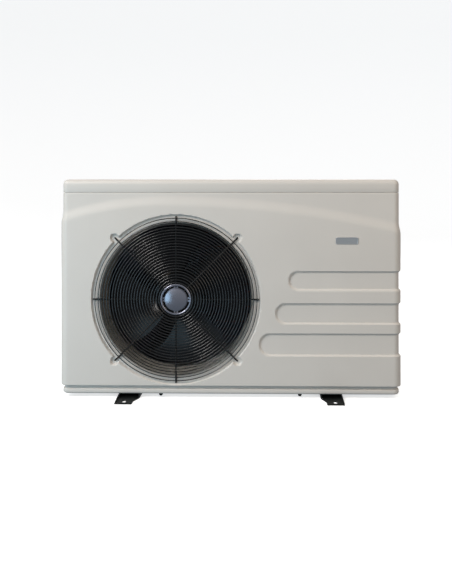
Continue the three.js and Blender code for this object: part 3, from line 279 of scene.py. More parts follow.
# Where the arch peaks, and how far below the panel's top its peak, its left end and its right end are.
ARCH = {"x": -198, "drop": 24.5, "left": 74, "right": 106.5}
ARCH_RAMP = 36
FLUTES = ((348, 53, 174), (251, 58, 135), (159.5, 63, 87))  # middle, height, where it starts
FLUTE_RAMP = 5
RECESS_R, RECESS_DEEP, RECESS_RAMP = 250, 7, 3.2
LOBE_REACH, LOBE_R = 258, 11
OPENING_R = 228
CELL = 3.2
print("fan axis", FAN_X, FAN_Z)


def smooth(t):
    """The S-curve 3t^2 - 2t^3 between 0 and 1."""
    t = np.clip(t, 0, 1)
    return t * t * (3 - 2 * t)


def outline(u, half_w, half_d, corner):
    """Along the front and round its corners: x, y and the outward direction at each arc length u."""
    flat = half_w - corner
    over = np.clip(np.abs(u) - flat, 0, None)
    bend = np.minimum(over / corner, math.pi / 2)
    side = np.clip(over - corner * math.pi / 2, 0, None)
    sign = np.sign(u)
    x = np.clip(u, -flat, flat) + sign * corner * np.sin(bend)
    y = -half_d + corner * (1 - np.cos(bend)) + side
    return x, y, sign * np.sin(bend), -np.cos(bend)


def arch_depth(x, z):
    """How deep the step above the arch is: a parabola each side of its peak, blurred into a ramp."""
    left = x < ARCH["x"]
    drop = np.where(left, ARCH["left"], ARCH["right"]) - ARCH["drop"]
    reach = np.where(left, ARCH["x"] + HALF_W, HALF_W - ARCH["x"])
    part = (x - ARCH["x"]) / reach
    over = z - (PANEL_HIGH - ARCH["drop"] - drop * part**2)
    lean = 2 * drop * part / reach
    return STEP * smooth(over / np.sqrt(1 + lean**2) / ARCH_RAMP + 0.5)


def into_flutes(u, z):
    """Distance into the nearest of three bars with round left ends, negative outside."""
    inside = np.full(np.broadcast(u, z).shape, -np.inf)
    for middle, height, start in FLUTES:
        inside = np.maximum(inside, height / 2 - np.hypot(np.minimum(u - start - height / 2, 0), z - middle))
    return inside


def into_recess(u, z):
    """Distance into the fan's recess, a disc joined to four bars along the diagonals, negative outside."""
    x, y = u - FAN_X, z - FAN_Z
    disc = RECESS_R - np.hypot(x, y)
    along = np.minimum((np.abs(x) + np.abs(y)) / math.sqrt(2), LOBE_REACH)
    across = np.hypot(np.abs(x) - along / math.sqrt(2), np.abs(y) - along / math.sqrt(2))
    return np.maximum(disc, LOBE_R - across)


def moulded_depth(u, z):
    """All the casing's relief at a place on the laid-out sheet."""
    x = outline(u, HALF_W, HALF_D, CORNER)[0]
    flutes = STEP * smooth(into_flutes(u, z) / FLUTE_RAMP + 0.5)
    recess = RECESS_DEEP * smooth(into_recess(u, z) / RECESS_RAMP + 0.5)
    return np.maximum(np.maximum(arch_depth(x, z), flutes), recess)


# The lines where a ramp starts and ends, as distances that are zero on them.
RAMP_LINES = [
    lambda u, z, away=sign * ramp / 2, into=into: into(u, z) - away
    for into, ramp in ((into_flutes, FLUTE_RAMP), (into_recess, RECESS_RAMP)) for sign in (-1, 1)
]


# %% [markdown]
# A hole in a grid normally leaves a ragged edge. Here the points nearest to the hole's edge are first moved
# onto it, by their distance from it, and only then are the cells inside it dropped. A cell with one corner
# left inside becomes a triangle. The edge comes out exactly round, with no boolean cut.

# %% Sheets with holes
EDGE_Z, EDGE_U = 2.0, 0.8  # radius of a panel's edges along its top and bottom, and at its ends
RAMP_REACH = 0.42  # how far a point may move onto a ramp's line, in cells
EDGE_ROWS = 4  # grid lines that round each edge


def spaced(start, end, cell, edge):
    """Grid lines from start to end, close together within edge of both ends."""
    near = edge * np.array([0, 0.08, 0.3, 0.6])
    middle = np.linspace(start + edge, end - edge, max(2, round((end - start - 2 * edge) / cell) + 1))
    return np.concatenate([start + near, middle, end - near[::-1]])


def round_hole(u0, z0, radius):
    """Distance to a round hole's edge, negative inside it."""
    return lambda u, z: np.hypot(u - u0, z - z0) - radius


def square_hole(u0, z0, half_u, half_z, radius):
    """Distance to a rounded rectangle's edge, negative inside it."""
    def distance(u, z):
        du, dz = np.abs(u - u0) - half_u + radius, np.abs(z - z0) - half_z + radius
        return np.hypot(np.maximum(du, 0), np.maximum(dz, 0)) + np.minimum(np.maximum(du, dz), 0) - radius
    return distance


def drawn(u, z, line, reach):
    """Moves points within reach of a line onto it. Returns u, z, their distances before and which moved."""
    nudge = 1e-3
    gap = line(u, z)
    du = (line(u + nudge, z) - line(u - nudge, z)) / (2 * nudge)
    dz = (line(u, z + nudge) - line(u, z - nudge)) / (2 * nudge)
    near = np.abs(gap) <= reach
    return np.where(near, u - gap * du, u), np.where(near, z - gap * dz, z), gap, near


def cut(u, z, holes, cell):
    """Draws points within half a cell of a hole onto its edge. Returns u, z and which points are inside."""
    inside = np.zeros(u.shape, bool)
    for hole in holes:
        u, z, gap, near = drawn(u, z, hole, cell / 2)
        inside |= ~near & (gap < 0)
    return u, z, inside


def cut_faces(inside):
    """Faces of a grid with points missing: whole cells, and triangles where one corner is missing."""
    rows, columns = inside.shape
    ids = np.arange(rows * columns).reshape(rows, columns)
    cells = np.stack([ids[:-1, :-1], ids[1:, :-1], ids[1:, 1:], ids[:-1, 1:]], -1).reshape(-1, 4)
    gone = inside.reshape(-1)[cells]
    faces = [cells[gone.sum(1) == 0]]
    for corner in range(4):
        lone = (gone.sum(1) == 1) & gone[:, corner]
        faces.append(cells[lone][:, [(corner + k) % 4 for k in (1, 2, 3)]])
    return faces


def rounding(place, lines, radius):
    """How far a surface falls away near the ends of its grid lines: a quarter circle of that radius."""
    rim = np.clip(1 - np.minimum(place - lines[0], lines[-1] - place) / radius, 0, 1)
    return radius * (1 - np.sqrt(1 - rim**2))


def sheet(u_lines, z_lines, depth, shape, holes=(), cell=CELL, back=False, ramps=()):
    """A stretch of casing wall: the outline at each u, pushed in by depth and rounded over at its edges."""
    u, z = np.meshgrid(u_lines, z_lines, indexing="ij")
    for line in ramps:
        inner = (slice(EDGE_ROWS, -EDGE_ROWS),) * 2  # the sheet's own edges stay where they are
        u[inner], z[inner] = drawn(u[inner], z[inner], line, RAMP_REACH * cell)[:2]
    u, z, inside = cut(u, z, holes, cell)
    x, y, out_x, out_y = outline(u, *shape)
    push = depth(u, z) + rounding(z, z_lines, EDGE_Z) + rounding(u, u_lines, EDGE_U)
    turn = -1 if back else 1
    points = np.stack([turn * (x - push * out_x), turn * (y - push * out_y), z], -1)
    return points.reshape(-1, 3), cut_faces(inside)


# %% [markdown]
# The front moulding runs round both corners and meets the side panels there.

# %% Front panel
FRONT_SHAPE = (HALF_W, HALF_D, CORNER)
CORNER_END = HALF_W - CORNER + CORNER * math.pi / 2


def side_u(y):
    """Place along the sheet of a point on the side wall."""
    return CORNER_END + y + HALF_D - CORNER


panel_z = spaced(PANEL_LOW, PANEL_HIGH, CELL, EDGE_Z)
front_u = spaced(-side_u(SEAM_Y), side_u(SEAM_Y), CELL, EDGE_U)
fan_opening = round_hole(FAN_X, FAN_Z, OPENING_R)
front_sheet = sheet(front_u, panel_z, moulded_depth, FRONT_SHAPE, [fan_opening], ramps=RAMP_LINES)
piece("front_moulding", [front_sheet], casing, stands_for=["front_panel"], wall=SKIN)

# %% [markdown]
# The side panels carry the step and the flutes on to the back. The left one has rows of air slots for the
# coil's short leg; the right one is cut for the display and the gauge.

# %% Side panels
SIDE_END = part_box("right_panel")[1][1] / MM
side_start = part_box("right_panel")[0][1] / MM
left_u = spaced(-side_u(SIDE_END), -side_u(side_start), CELL, EDGE_U)
right_u = spaced(side_u(side_start), side_u(SIDE_END), CELL, EDGE_U)
SLOT_PITCH, SLOT_HEIGHT, SLOT_FIRST, SLOT_COUNT = 26, 9, 48, 17
SLOT_FRONT, SLOT_REAR = 36, 26  # from the panel's ends to its slots
slot_from, slot_to = SEAM_Y + SLOT_FRONT, SIDE_END - SLOT_REAR
slot_u = -side_u((slot_from + slot_to) / 2)
slots = [
    square_hole(slot_u, PANEL_LOW + SLOT_FIRST + SLOT_PITCH * i + SLOT_HEIGHT / 2,
                (slot_to - slot_from) / 2, SLOT_HEIGHT / 2, SLOT_HEIGHT / 2 - 0.01)
    for i in range(SLOT_COUNT)
]
LEFT_CELL, SLOT_CELL = 2.6, 1.5  # fine enough along and across the slots
left_sheet = sheet(spaced(left_u[0], left_u[-1], LEFT_CELL, EDGE_U),
                   spaced(PANEL_LOW, PANEL_HIGH, SLOT_CELL, EDGE_Z),
                   moulded_depth, FRONT_SHAPE, slots, cell=SLOT_CELL)
piece("left_side", [left_sheet], casing, stands_for=["left_panel"], wall=SKIN)


def middle(node):
    """The middle of a CAD node's box, in millimetres."""
    low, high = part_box(node)
    return (np.array(low) + np.array(high)) / 2 / MM


def half_size(node):
    """Half the CAD node's box, in millimetres."""
    low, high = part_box(node)
    return (np.array(high) - np.array(low)) / 2 / MM


display_at, display_half = middle("display_housing"), half_size("display_housing")
gauge_at, gauge_half = middle("gauge_case"), half_size("gauge_case")
DISPLAY_CORNER = 8
right_holes = [
    square_hole(side_u(display_at[1]), display_at[2], display_half[1] + GAP, display_half[2] + GAP,
                DISPLAY_CORNER),
    round_hole(side_u(gauge_at[1]), gauge_at[2], gauge_half[2] + GAP),
]
piece("right_side", [sheet(right_u, panel_z, moulded_depth, FRONT_SHAPE, right_holes, ramps=RAMP_LINES[:2])],
      casing, stands_for=["right_panel"], wall=SKIN)

# %% [markdown]
# The back is two plain mouldings on the recessed outline: a panel with the water pipes and the cable gland,
# and a louvred guard over the coil. They are the same sheet turned half round.

# %% Rear panel and coil guard
rear_low, rear_high = np.array(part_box("rear_panel")) / MM
guard_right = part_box("coil_guard")[1][0] / MM
REAR_W, REAR_D, REAR_CORNER = rear_high[0], rear_high[1], CORNER - STEP
REAR_SHAPE = (REAR_W, REAR_D, REAR_CORNER)
rear_turn = REAR_W - REAR_CORNER + REAR_CORNER * math.pi / 2 + REAR_D - REAR_CORNER - rear_low[1]
INLET_Z, OUTLET_Z = 110, 322
WATER_X = middle("inlet_union_nut")[0]
GLAND_X, GLAND_Z = middle("cable_gland")[[0, 2]]
PIPE_HOLE_R, GLAND_HOLE_R = 26.5, 9.5


def flat_depth(u, z):
    """No relief."""
    return np.zeros(np.broadcast(u, z).shape)


rear_holes = [
    round_hole(-WATER_X, INLET_Z, PIPE_HOLE_R),
    round_hole(-WATER_X, OUTLET_Z, PIPE_HOLE_R),
    round_hole(-GLAND_X, GLAND_Z, GLAND_HOLE_R),
]
rear_u = spaced(-rear_turn, -rear_low[0], CELL, EDGE_U)
rear_sheet = sheet(rear_u, panel_z, flat_depth, REAR_SHAPE, rear_holes, back=True)
piece("rear_wall", [rear_sheet], casing, stands_for=["rear_panel"], wall=SKIN)

GUARD_MARGIN, GUARD_STILE = 26, 10  # round the coil guard's window, and past the skin at its outer end
window_low = np.array([-REAR_W + SKIN + GUARD_STILE, PANEL_LOW + GUARD_MARGIN])
window_high = np.array([guard_right - GUARD_MARGIN, PANEL_HIGH + GAP - GUARD_MARGIN])
window_at, window_half = (window_low + window_high) / 2, (window_high - window_low) / 2
BAR_COUNT, BAR_HEIGHT, BAR_DEEP = 14, 5, 3.2
BAR_LAP = 1  # how far a bar runs into the frame
UPRIGHT_WIDE, UPRIGHT_BACK = 8, 0.6  # the middle stile, and how far behind the bars it stands


def bar(ends, half_a, half_b, sides=16):
    """A straight bar. ends is its two ends and its section's two directions. The section is a circle whose
    cosine and sine are replaced by their square roots, which swells it towards a square."""
    start, end, a, b = ends
    angle = circle_angles(sides)
    ca, sa = np.cos(angle), np.sin(angle)
    ring = (half_a * np.sign(ca) * np.abs(ca) ** 0.5)[:, None] * a + (
        half_b * np.sign(sa) * np.abs(sa) ** 0.5)[:, None] * b
    rows = np.array([start, start, end, end])[:, None] + np.array([0, 1, 1, 0])[:, None, None] * ring
    return grid(rows)


X, Y, Z = np.eye(3)
window = sheet(spaced(-guard_right, rear_turn, CELL, EDGE_U), panel_z, flat_depth, REAR_SHAPE,
               [square_hole(-window_at[0], window_at[1], *window_half, 4)], back=True)
piece("coil_guard_frame", [window], casing, stands_for=["coil_guard"], wall=SKIN)
bar_y = REAR_D - GAP - BAR_DEEP / 2
bars = []
for i in range(1, BAR_COUNT + 1):
    z = window_low[1] + (window_high[1] - window_low[1]) * i / (BAR_COUNT + 1)
    ends = np.array([window_low[0] - BAR_LAP, bar_y, z]), np.array([window_high[0] + BAR_LAP, bar_y, z])
    bars.append(bar((*ends, Y, Z), BAR_DEEP / 2, BAR_HEIGHT / 2))
upright = [np.array([window_at[0], bar_y - UPRIGHT_BACK, z])
           for z in (window_low[1] - BAR_LAP, window_high[1] + BAR_LAP)]
bars.append(bar((*upright, X, Y), UPRIGHT_WIDE / 2, BAR_DEEP / 2))
piece("coil_guard_bars", bars, casing)

# %% [markdown]
# ## Lid and pan
# Both are rings round one rounded rectangle. Each ring has an inset from that outline, a shrink towards the
# middle, and a height, so the whole part is a short table of its section. Two rings shrunk to a point close
# the top and the underside of the same skin.

# %% Rings round the outline
LID_LIP = 10  # the lid's inner lip hangs this far below its seam
LID_LOW, LID_TOP = np.array(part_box("top_cover"))[:, 2] / MM + np.array([LID_LIP, 0])
LIP_OUTER, LIP_INNER = SKIN + 0.8, SKIN + 3  # insets of the lip's two faces


def rounded_rectangle(half_x, half_y, radius, arc_steps=12):
    """Points and outward directions round a rounded rectangle, the last equal to the first."""
    points, outs = [], []
    for k, (sx, sy) in enumerate(((1, -1), (1, 1), (-1, 1), (-1, -1))):
        angle = np.linspace(-math.pi / 2, 0, arc_steps + 1) + k * math.pi / 2
        out = np.stack([np.cos(angle), np.sin(angle)], -1)
        points.append(np.array([sx * (half_x - radius), sy * (half_y - radius)]) + radius * out)
        outs.append(out)
    points, outs = np.vstack(points), np.vstack(outs)
    return np.vstack([points, points[:1]]), np.vstack([outs, outs[:1]])


def rings(section, half_x, half_y, radius):
    """A skin of rings: each row of section is an inset, a shrink from 1 to 0, and a height."""
    points, outs = rounded_rectangle(half_x, half_y, radius)
    inset, shrink, height = np.array(section, float).T
    flat = (points[:, None] - inset[:, None] * outs[:, None]) * shrink[:, None]
    tall = np.broadcast_to(height, flat.shape[:2])
    return grid(np.concatenate([flat, tall[..., None]], -1))


def quarter(inset, height, radius, start, steps=8):
    """Rows of section round a quarter circle whose centre is at (inset, height); start is its first angle."""
    angle = np.radians(np.linspace(start, start + 90, steps + 1))
    return [[inset - radius * math.cos(a), 1, height + radius * math.sin(a)] for a in angle]


LID_ROUND = 15
CROWN = 1.2  # how much the middle of the lid stands above its shoulder
shoulder = LID_TOP - CROWN
crown = [[LID_ROUND, k, shoulder + CROWN * (1 - k**3)] for k in (0.97, 0.9, 0.75, 0.5, 0.25, 0)]
under = [[LID_ROUND, k, shoulder - SKIN + CROWN * (1 - k**3)] for k in (0, 0.5, 0.9, 0.985)]
lid_section = (
    [[LIP_OUTER, 1, LID_LOW - LID_LIP], [LIP_OUTER, 1, LID_LOW], [1, 1, LID_LOW], [0.3, 1, LID_LOW + 0.3],
     [0, 1, LID_LOW + 1]]
    + quarter(LID_ROUND, shoulder - LID_ROUND, LID_ROUND, 0)
    + crown + under
    + [[LIP_INNER, 1, shoulder - LID_ROUND], [LIP_INNER, 1, LID_LOW - LID_LIP],
       [LIP_OUTER, 1, LID_LOW - LID_LIP]]
)
piece("lid", [rings(lid_section, REAR_W, REAR_D, REAR_CORNER)], casing, stands_for=["top_cover"])

# %% [markdown]
# The pan's skirt is the lowest pale line of the machine. Above it a narrower band leaves a dark shadow line
# under the panels.

# %% Base pan
PAN_LOW, PAN_TOP = np.array(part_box("base_pan"))[:, 2] / MM
LIP_Z = PANEL_LOW - 10  # the skirt's top, below the panels
HEM_R, LIP_R = 6, 2.5  # radius of the skirt's foot and of its top edge
PAN_SHEET = 3
BAND_INSET = 5
INNER = BAND_INSET + PAN_SHEET
pan_section = (
    [[INNER, 1, LIP_Z - PAN_SHEET], [INNER, 1, PAN_LOW + 1], [INNER - 1, 1, PAN_LOW]]
    + quarter(HEM_R, PAN_LOW + HEM_R, HEM_R, -90, 6)
    + quarter(LIP_R, LIP_Z - LIP_R, LIP_R, 0, 4)
    + [[BAND_INSET, 1, LIP_Z], [BAND_INSET, 1, PAN_TOP - 0.4], [BAND_INSET + 0.4, 1, PAN_TOP],
       [INNER, 1, PAN_TOP], [INNER, 1, LIP_Z], [INNER, 0.5, LIP_Z], [INNER, 0, LIP_Z],
       [INNER, 0, LIP_Z - PAN_SHEET], [INNER, 0.5, LIP_Z - PAN_SHEET], [INNER, 1, LIP_Z - PAN_SHEET]]
)
piece("pan", [rings(pan_section, REAR_W, REAR_D, REAR_CORNER)], casing, stands_for=["base_pan"])

# %% [markdown]
# ## Turned parts
# The shroud, the hub, the unions and the small round fittings are all a section spun about an axis. The
# section is a list of radius and distance along the axis; a section that starts and ends on the axis closes
# itself, and any other is closed by repeating its first point.

# %% Lathe
AXES = {"x": (Y, Z, X), "y": (X, Z, Y), "z": (X, Y, Z)}


def spin(section, centre, axis="y", sides=96, ripple=None):
    """A section of (radius, distance) spun about an axis through centre. Ripple adds to the radius."""
    section = np.array(section, float)
    if section[0, 0] > 0:
        section = np.vstack([section, section[:1]])
    a, b, along = AXES[axis]
    angle = circle_angles(sides)[:, None]
    radius, distance = section[:, 0], section[:, 1]
    if ripple is not None:
        radius = radius + ripple(angle, radius, distance)
    else:
        radius = np.broadcast_to(radius, (len(angle), len(section)))
    points = (radius * np.cos(angle))[..., None] * a + (radius * np.sin(angle))[..., None] * b
    points = points + (distance[:, None] * along) + np.array(centre, float)
    return grid(points)


def arc(centre_r, centre_d, radius, start, end, steps=6):
    """Points of a section on a circle, from angle start to end in degrees, 0 pointing away from the axis."""
    angle = np.radians(np.linspace(start, end, steps + 1))
    return [[centre_r + radius * math.cos(a), centre_d + radius * math.sin(a)] for a in angle]


# %% [markdown]
# ## The fan
# The shroud is a short bell mouth that the blades turn in. Its wall shows behind the guard, most of all at
# the foot, where the light from above falls into it. Its plastic is coloured darker than the casing's as
# painted shade for the duct's shadowed wall.

# %% Shroud
FAN = [FAN_X, 0, FAN_Z]
shroud_low, shroud_high = np.array(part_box("fan_shroud"))[:, 1] / MM
THROAT_R, MOUTH_LONG, WALL = OPENING_R - 5, 22, 3
FLANGE_OUT = OPENING_R + 15  # edge of the flange behind the front panel
mouth = [[THROAT_R + (OPENING_R - THROAT_R) * (1 - math.sin(a)), shroud_low + MOUTH_LONG * (1 - math.cos(a))]
         for a in np.radians(np.linspace(0, 90, 13))]
shroud_section = (
    [[FLANGE_OUT, shroud_low + WALL], [FLANGE_OUT, shroud_low]] + mouth
    + [[THROAT_R, shroud_high - 1], [THROAT_R + 1, shroud_high], [THROAT_R + WALL, shroud_high],
       [THROAT_R + WALL, shroud_low + MOUTH_LONG + WALL]]
    + [[r + WALL, d + WALL * 0.7] for r, d in mouth[-2:0:-3]]
    + [[OPENING_R + WALL, shroud_low + WALL]]
)
piece("shroud", [spin(shroud_section, FAN, sides=160)], shroud_painted_shade, stands_for=["fan_shroud"])

# %% [markdown]
# The guard is welded wire: rings in front, eight thicker arms behind. The diagonal arms bend back at their
# ends into the recess's lobes. A wire is a circle carried along a path, and the ring's path is itself a
# circle, so a ring is a torus. The arms wear a darker copy of the rings' coating: painted shade.

# %% Guard
RING_R, ARM_R = 1.45, 2.3
WELD = 0.6  # how deep a ring is sunk into the arms
ARM_FROM, ARM_PAST, ARM_BEND, ARM_LEG = 35, 6, 7, 3  # start, length past the last ring, bend, straight leg
recess_floor = -HALF_D + RECESS_DEEP
arm_y = recess_floor - GAP - ARM_R
ring_y = arm_y - ARM_R - RING_R + WELD
RING_OUTER, RING_LAST, RING_FIRST, RING_STEPS = 240, 230, 50, 23
ring_radii = [RING_OUTER, *np.linspace(RING_LAST, RING_FIRST, RING_STEPS)]


def tube(path, radius, side, sides=12):
    """A circle carried along a flat path, closed at both ends; side is square to the path's plane."""
    along = np.gradient(path, axis=0)
    along /= np.linalg.norm(along, axis=1)[:, None]
    up = np.cross(along, side)
    angle = circle_angles(sides)
    ring = np.cos(angle)[None, :, None] * up[:, None] + np.sin(angle)[None, :, None] * side
    points = path[:, None] + radius * ring
    return grid(np.concatenate([np.broadcast_to(path[:1, None], points[:1].shape), points,
                                np.broadcast_to(path[-1:, None], points[:1].shape)]))


def arm_path(angle, bent):
    """From under the flange out along the angle; a bent arm turns back through a quarter circle."""
    out = math.cos(angle) * X + math.sin(angle) * Z
    if not bent:
        reach = np.linspace(ARM_FROM, RING_OUTER + ARM_PAST, 5)
        return np.array(FAN) + reach[:, None] * out + arm_y * Y
    turn = np.linspace(0, math.pi / 2, 7)
    flat_end = LOBE_REACH - ARM_BEND
    flat = np.linspace(ARM_FROM, flat_end, 5)[:-1]
    reach = np.concatenate([flat, flat_end + ARM_BEND * np.sin(turn), [LOBE_REACH]])
    back = np.concatenate([np.zeros(4), ARM_BEND * (1 - np.cos(turn)), [ARM_BEND + ARM_LEG]])
    return np.array(FAN) + reach[:, None] * out + (arm_y + back)[:, None] * Y


guard_rings = [
    spin(arc(r, ring_y, RING_R, 0, 360, 10)[:-1], FAN, sides=144 if r > RING_OUTER / 2 else 96)
    for r in ring_radii
]
guard_arms = []
for k in range(8):
    angle = k * math.pi / 4
    side = -math.sin(angle) * X + math.cos(angle) * Z
    guard_arms.append(tube(arm_path(angle, k % 2 == 1), ARM_R, side, 14))
piece("guard_rings", guard_rings, wire, stands_for=["fan_guard"], crease=60)
piece("guard_arms", guard_arms, arm_wire_painted_shade, stands_for=["fan_guard"], crease=60)

# %% [markdown]
# The motor hangs on the guard by its flange: a disc with four curved slots and a smooth raised cap. It is
# laid out like the casing, with arc length for u and radius for z, so the same hole cutter makes the slots.

# %% Motor flange
FLANGE_R, CAP_R, RIM_R = 46, 32, 43
CAP_DROP = 5  # how far the cap falls from its middle to its edge
CAP_PROUD = 1.6  # how far the cap's middle stands in front of the flange's own plane
RIM_RISE, RIM_FALL, RIM_HALF = 3.4, 2.4, 3.0  # the rim's crown, how it falls, and over what half width
FLANGE_DEEP, FLANGE_WALL = 5, 3.4
flange_plane = recess_floor - GAP - 2 * ARM_R - GAP - FLANGE_DEEP


def flange_height(r):
    """Front face of the flange at a radius: a low dome, a groove at its edge, then a rolled rim."""
    dome = CAP_DROP * (r / CAP_R) ** 2 - CAP_PROUD
    rim = CAP_DROP - RIM_RISE + RIM_FALL * (np.clip(np.abs(r - RIM_R) / RIM_HALF, 0, 1.4)) ** 2
    return np.where(r < CAP_R + 1, dome, rim)


slot_mid, slot_half = 37.0, 3.0
SLOT_ARC = math.radians(36)  # half of the angle that a slot takes up
flange_u, flange_r = np.meshgrid(np.linspace(0, 2 * math.pi * slot_mid, 241),
                                 np.concatenate([[0.0], np.linspace(4, FLANGE_R, 43)]), indexing="ij")
flange_slots = [
    square_hole(slot_mid * (math.pi / 4 + k * math.pi / 2), slot_mid, slot_mid * SLOT_ARC, slot_half, 2.99)
    for k in range(4)
]
flange_u, flange_r, in_slot = cut(flange_u, flange_r, flange_slots, 1.0)
turn = -flange_u / slot_mid  # clockwise from the front, so that the face looks forward
flange_points = np.stack([FAN_X + flange_r * np.cos(turn), flange_plane + flange_height(flange_r),
                          FAN_Z + flange_r * np.sin(turn)], -1)
piece("flange", [(flange_points.reshape(-1, 3), cut_faces(in_slot))], cast_grey,
      wall=FLANGE_WALL)
BOSS_R, NECK_R, NECK_BORE = 31, 18, 13.4
neck_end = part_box("motor_flange")[1][1] / MM
neck = [[BOSS_R - 1, flange_plane + 3], [BOSS_R, flange_plane + 3.4], [BOSS_R, flange_plane + 20],
        [NECK_R + 1, flange_plane + 28], [NECK_R, neck_end], [NECK_BORE, neck_end],
        [NECK_BORE, flange_plane + 16], [0, flange_plane + 16], [0, flange_plane + 3]]
piece("flange_neck", [spin(neck[::-1], FAN, sides=64)], cast_grey,
      stands_for=["motor_flange"])

# %% [markdown]
# The turning half of the motor is a steel cup, and the impeller's hub is pressed over it. Each blade is a
# thin rounded section whose angle round the axis, pitch and camber change from root to tip. A blade is wide:
# four of them nearly fill the circle, with narrow curved gaps between.

# %% Rotor and impeller
can_low, can_high = np.array(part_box("rotor_can"))[:, 1] / MM
HUB_BACK = 65  # from the front face back to the hub
hub_low = -HALF_D + HUB_BACK
CAN_R, CAN_LONG, CAN_WALL, SHAFT_R = 51, 52, 4, 6
HUB_R, HUB_LONG, HUB_WALL, HUB_ROUND = 72, 50, 4, 6
can_front, can_floor = can_high - CAN_LONG, can_high - CAN_WALL
can = [[0, can_high], *arc(CAN_R - 2, can_high - 2, 2, 90, 0, 4),
       *arc(CAN_R - 1, can_front + 1, 1, 0, -90, 3), [CAN_R - CAN_WALL, can_front],
       [CAN_R - CAN_WALL, can_floor], [SHAFT_R, can_floor], [SHAFT_R, can_low], [0, can_low]]
piece("motor_cup", [spin(can, FAN, sides=72)], black_paint, "fan_rotor", ["rotor_can"])
hub = [[CAN_R + GAP, hub_low], *arc(HUB_R - HUB_ROUND, hub_low + HUB_ROUND, HUB_ROUND, -90, 0, 6),
       [HUB_R, hub_low + HUB_LONG], [HUB_R - HUB_WALL, hub_low + HUB_LONG], [HUB_R - HUB_WALL, hub_low + 8],
       [CAN_R + 4, hub_low + 6], [CAN_R + 3, hub_low + 30], [CAN_R + GAP, hub_low + 30]]

BLADE_COUNT, BLADE_FIRST, BLADE_TIP = 4, 15, 207  # how many, the first one's angle, and the tip's radius
BLADE_ROOT = HUB_R - 2
BLADE_HALF_THICK, BLADE_CAMBER, BLADE_RISE = 1.5, 9, 44  # section, bow, and fall from edge to edge
ROOT_ARC, TIP_ARC = 62, 73  # degrees that a blade covers at its root and its tip
BLADE_SWEEP = 12  # degrees that the tip trails the root
CORNER_CUT = 9  # how much shorter the tip is at its two corners


def blade(middle_angle):
    """One blade. Out runs 0 to 1 from root to tip. Along is half a cosine, from edge to edge, and thick is a
    sine, a little fuller at one edge. Angle and height are along times the arc and the fall, and the height
    has a bow of a quarter less along squared."""
    rows = 25
    out = np.concatenate([[0], np.linspace(0, 1, rows), [1]])[:, None]
    angle = circle_angles(48)[None]
    along = 0.5 * np.cos(angle)
    thick = BLADE_HALF_THICK * np.sin(angle) * (1 - 0.25 * np.cos(angle))
    thick = thick * np.concatenate([[0], np.ones(rows), [0]])[:, None]
    r = BLADE_ROOT + (BLADE_TIP - BLADE_ROOT) * out - CORNER_CUT * out**6 * (2 * along) ** 4
    arc_wide = ROOT_ARC + (TIP_ARC - ROOT_ARC) * out
    at = np.radians(middle_angle + BLADE_SWEEP * (0.5 - out**2) + along * arc_wide)
    bow = BLADE_CAMBER * (0.25 - along**2)
    y = hub_low + HUB_LONG / 2 - 2 - along * BLADE_RISE * (1 - 0.25 * out) + bow + thick
    return grid(np.stack([FAN_X + r * np.cos(at), y + 0 * r, FAN_Z + r * np.sin(at)], -1))


blades = [blade(BLADE_FIRST + 360 / BLADE_COUNT * k) for k in range(BLADE_COUNT)]
piece("impeller", [spin(hub, FAN, sides=96), *blades], blade_black, "fan_rotor",
      ["fan_impeller"])

# %% [markdown]
# ## Water unions
# Each pipe ends in a union: a thread, a loose tail with a socket for the pool's pipe, and a ribbed nut that
# draws them together. The nut's ribs are a ripple added to the radius of the spun section, eight times round.

# %% Pipes, tails and nuts
PIPE_R, BORE_R, THREAD_R, NUT_R = 25, 20, 32, 40
TAIL_R, TAIL_FLANGE, SOCKET_DEEP = 29.5, 5, 25
RIB_COUNT, RIB_TALL = 8, 3
NUT_BODY, NUT_BORE, NUT_LIP, LIP_BORE = NUT_R - 3, THREAD_R + 0.8, 5, 30.6
pipe_start, head_end = np.array(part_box("water_outlet_pipe"))[:, 1] / MM
HEAD_LONG, THREAD_PITCH, THREAD_DEEP = 20, 4, 1.4
tail_start, tail_end = np.array(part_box("outlet_union_tail"))[:, 1] / MM
nut_start, nut_end = np.array(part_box("outlet_union_nut"))[:, 1] / MM


def thread(start, end, pitch):
    """Ridges along a thread as points of a section."""
    count = int((end - start) / pitch)
    return [[THREAD_R - THREAD_DEEP * (k % 2), start + pitch * k / 2] for k in range(1, 2 * count)]


def nut_ribs(angle, radius, distance):
    """Eight round-topped ribs where the nut is at its full radius."""
    rib = smooth((np.cos(RIB_COUNT * angle) - 0.72) / 0.24)
    outer = (radius > NUT_R - 4) & (distance > nut_start + 1) & (distance < nut_end - 4)
    return RIB_TALL * rib * outer


pipe_section = (
    [[BORE_R, pipe_start], [PIPE_R, pipe_start], [PIPE_R, head_end - HEAD_LONG],
     [THREAD_R, head_end - HEAD_LONG]] + thread(head_end - HEAD_LONG, head_end, THREAD_PITCH)
    + [[THREAD_R, head_end - 1], [THREAD_R - 1, head_end], [BORE_R + 0.6, head_end], [BORE_R, head_end - 0.6]]
)
tail_section = [
    [BORE_R, tail_start], [THREAD_R, tail_start], [THREAD_R, tail_start + TAIL_FLANGE],
    [TAIL_R, tail_start + TAIL_FLANGE], *arc(TAIL_R - 1, tail_end - 1, 1, 0, 90, 3),
    [PIPE_R + 1.2, tail_end], [PIPE_R + 0.2, tail_end - 1],
    [PIPE_R + 0.2, tail_end - SOCKET_DEEP], [BORE_R, tail_end - SOCKET_DEEP],
]
nut_section = [
    [NUT_BORE, nut_start], [NUT_BODY - 0.6, nut_start],
    *[[NUT_BODY, nut_start + step] for step in (0.6, 1, 1.8)],
    *[[NUT_BODY, nut_end - step] for step in (4.8, 4, 3)], *arc(NUT_BODY - 3, nut_end - 3, 3, 15, 90, 4),
    [LIP_BORE, nut_end], [LIP_BORE, nut_end - NUT_LIP], [NUT_BORE, nut_end - NUT_LIP],
]
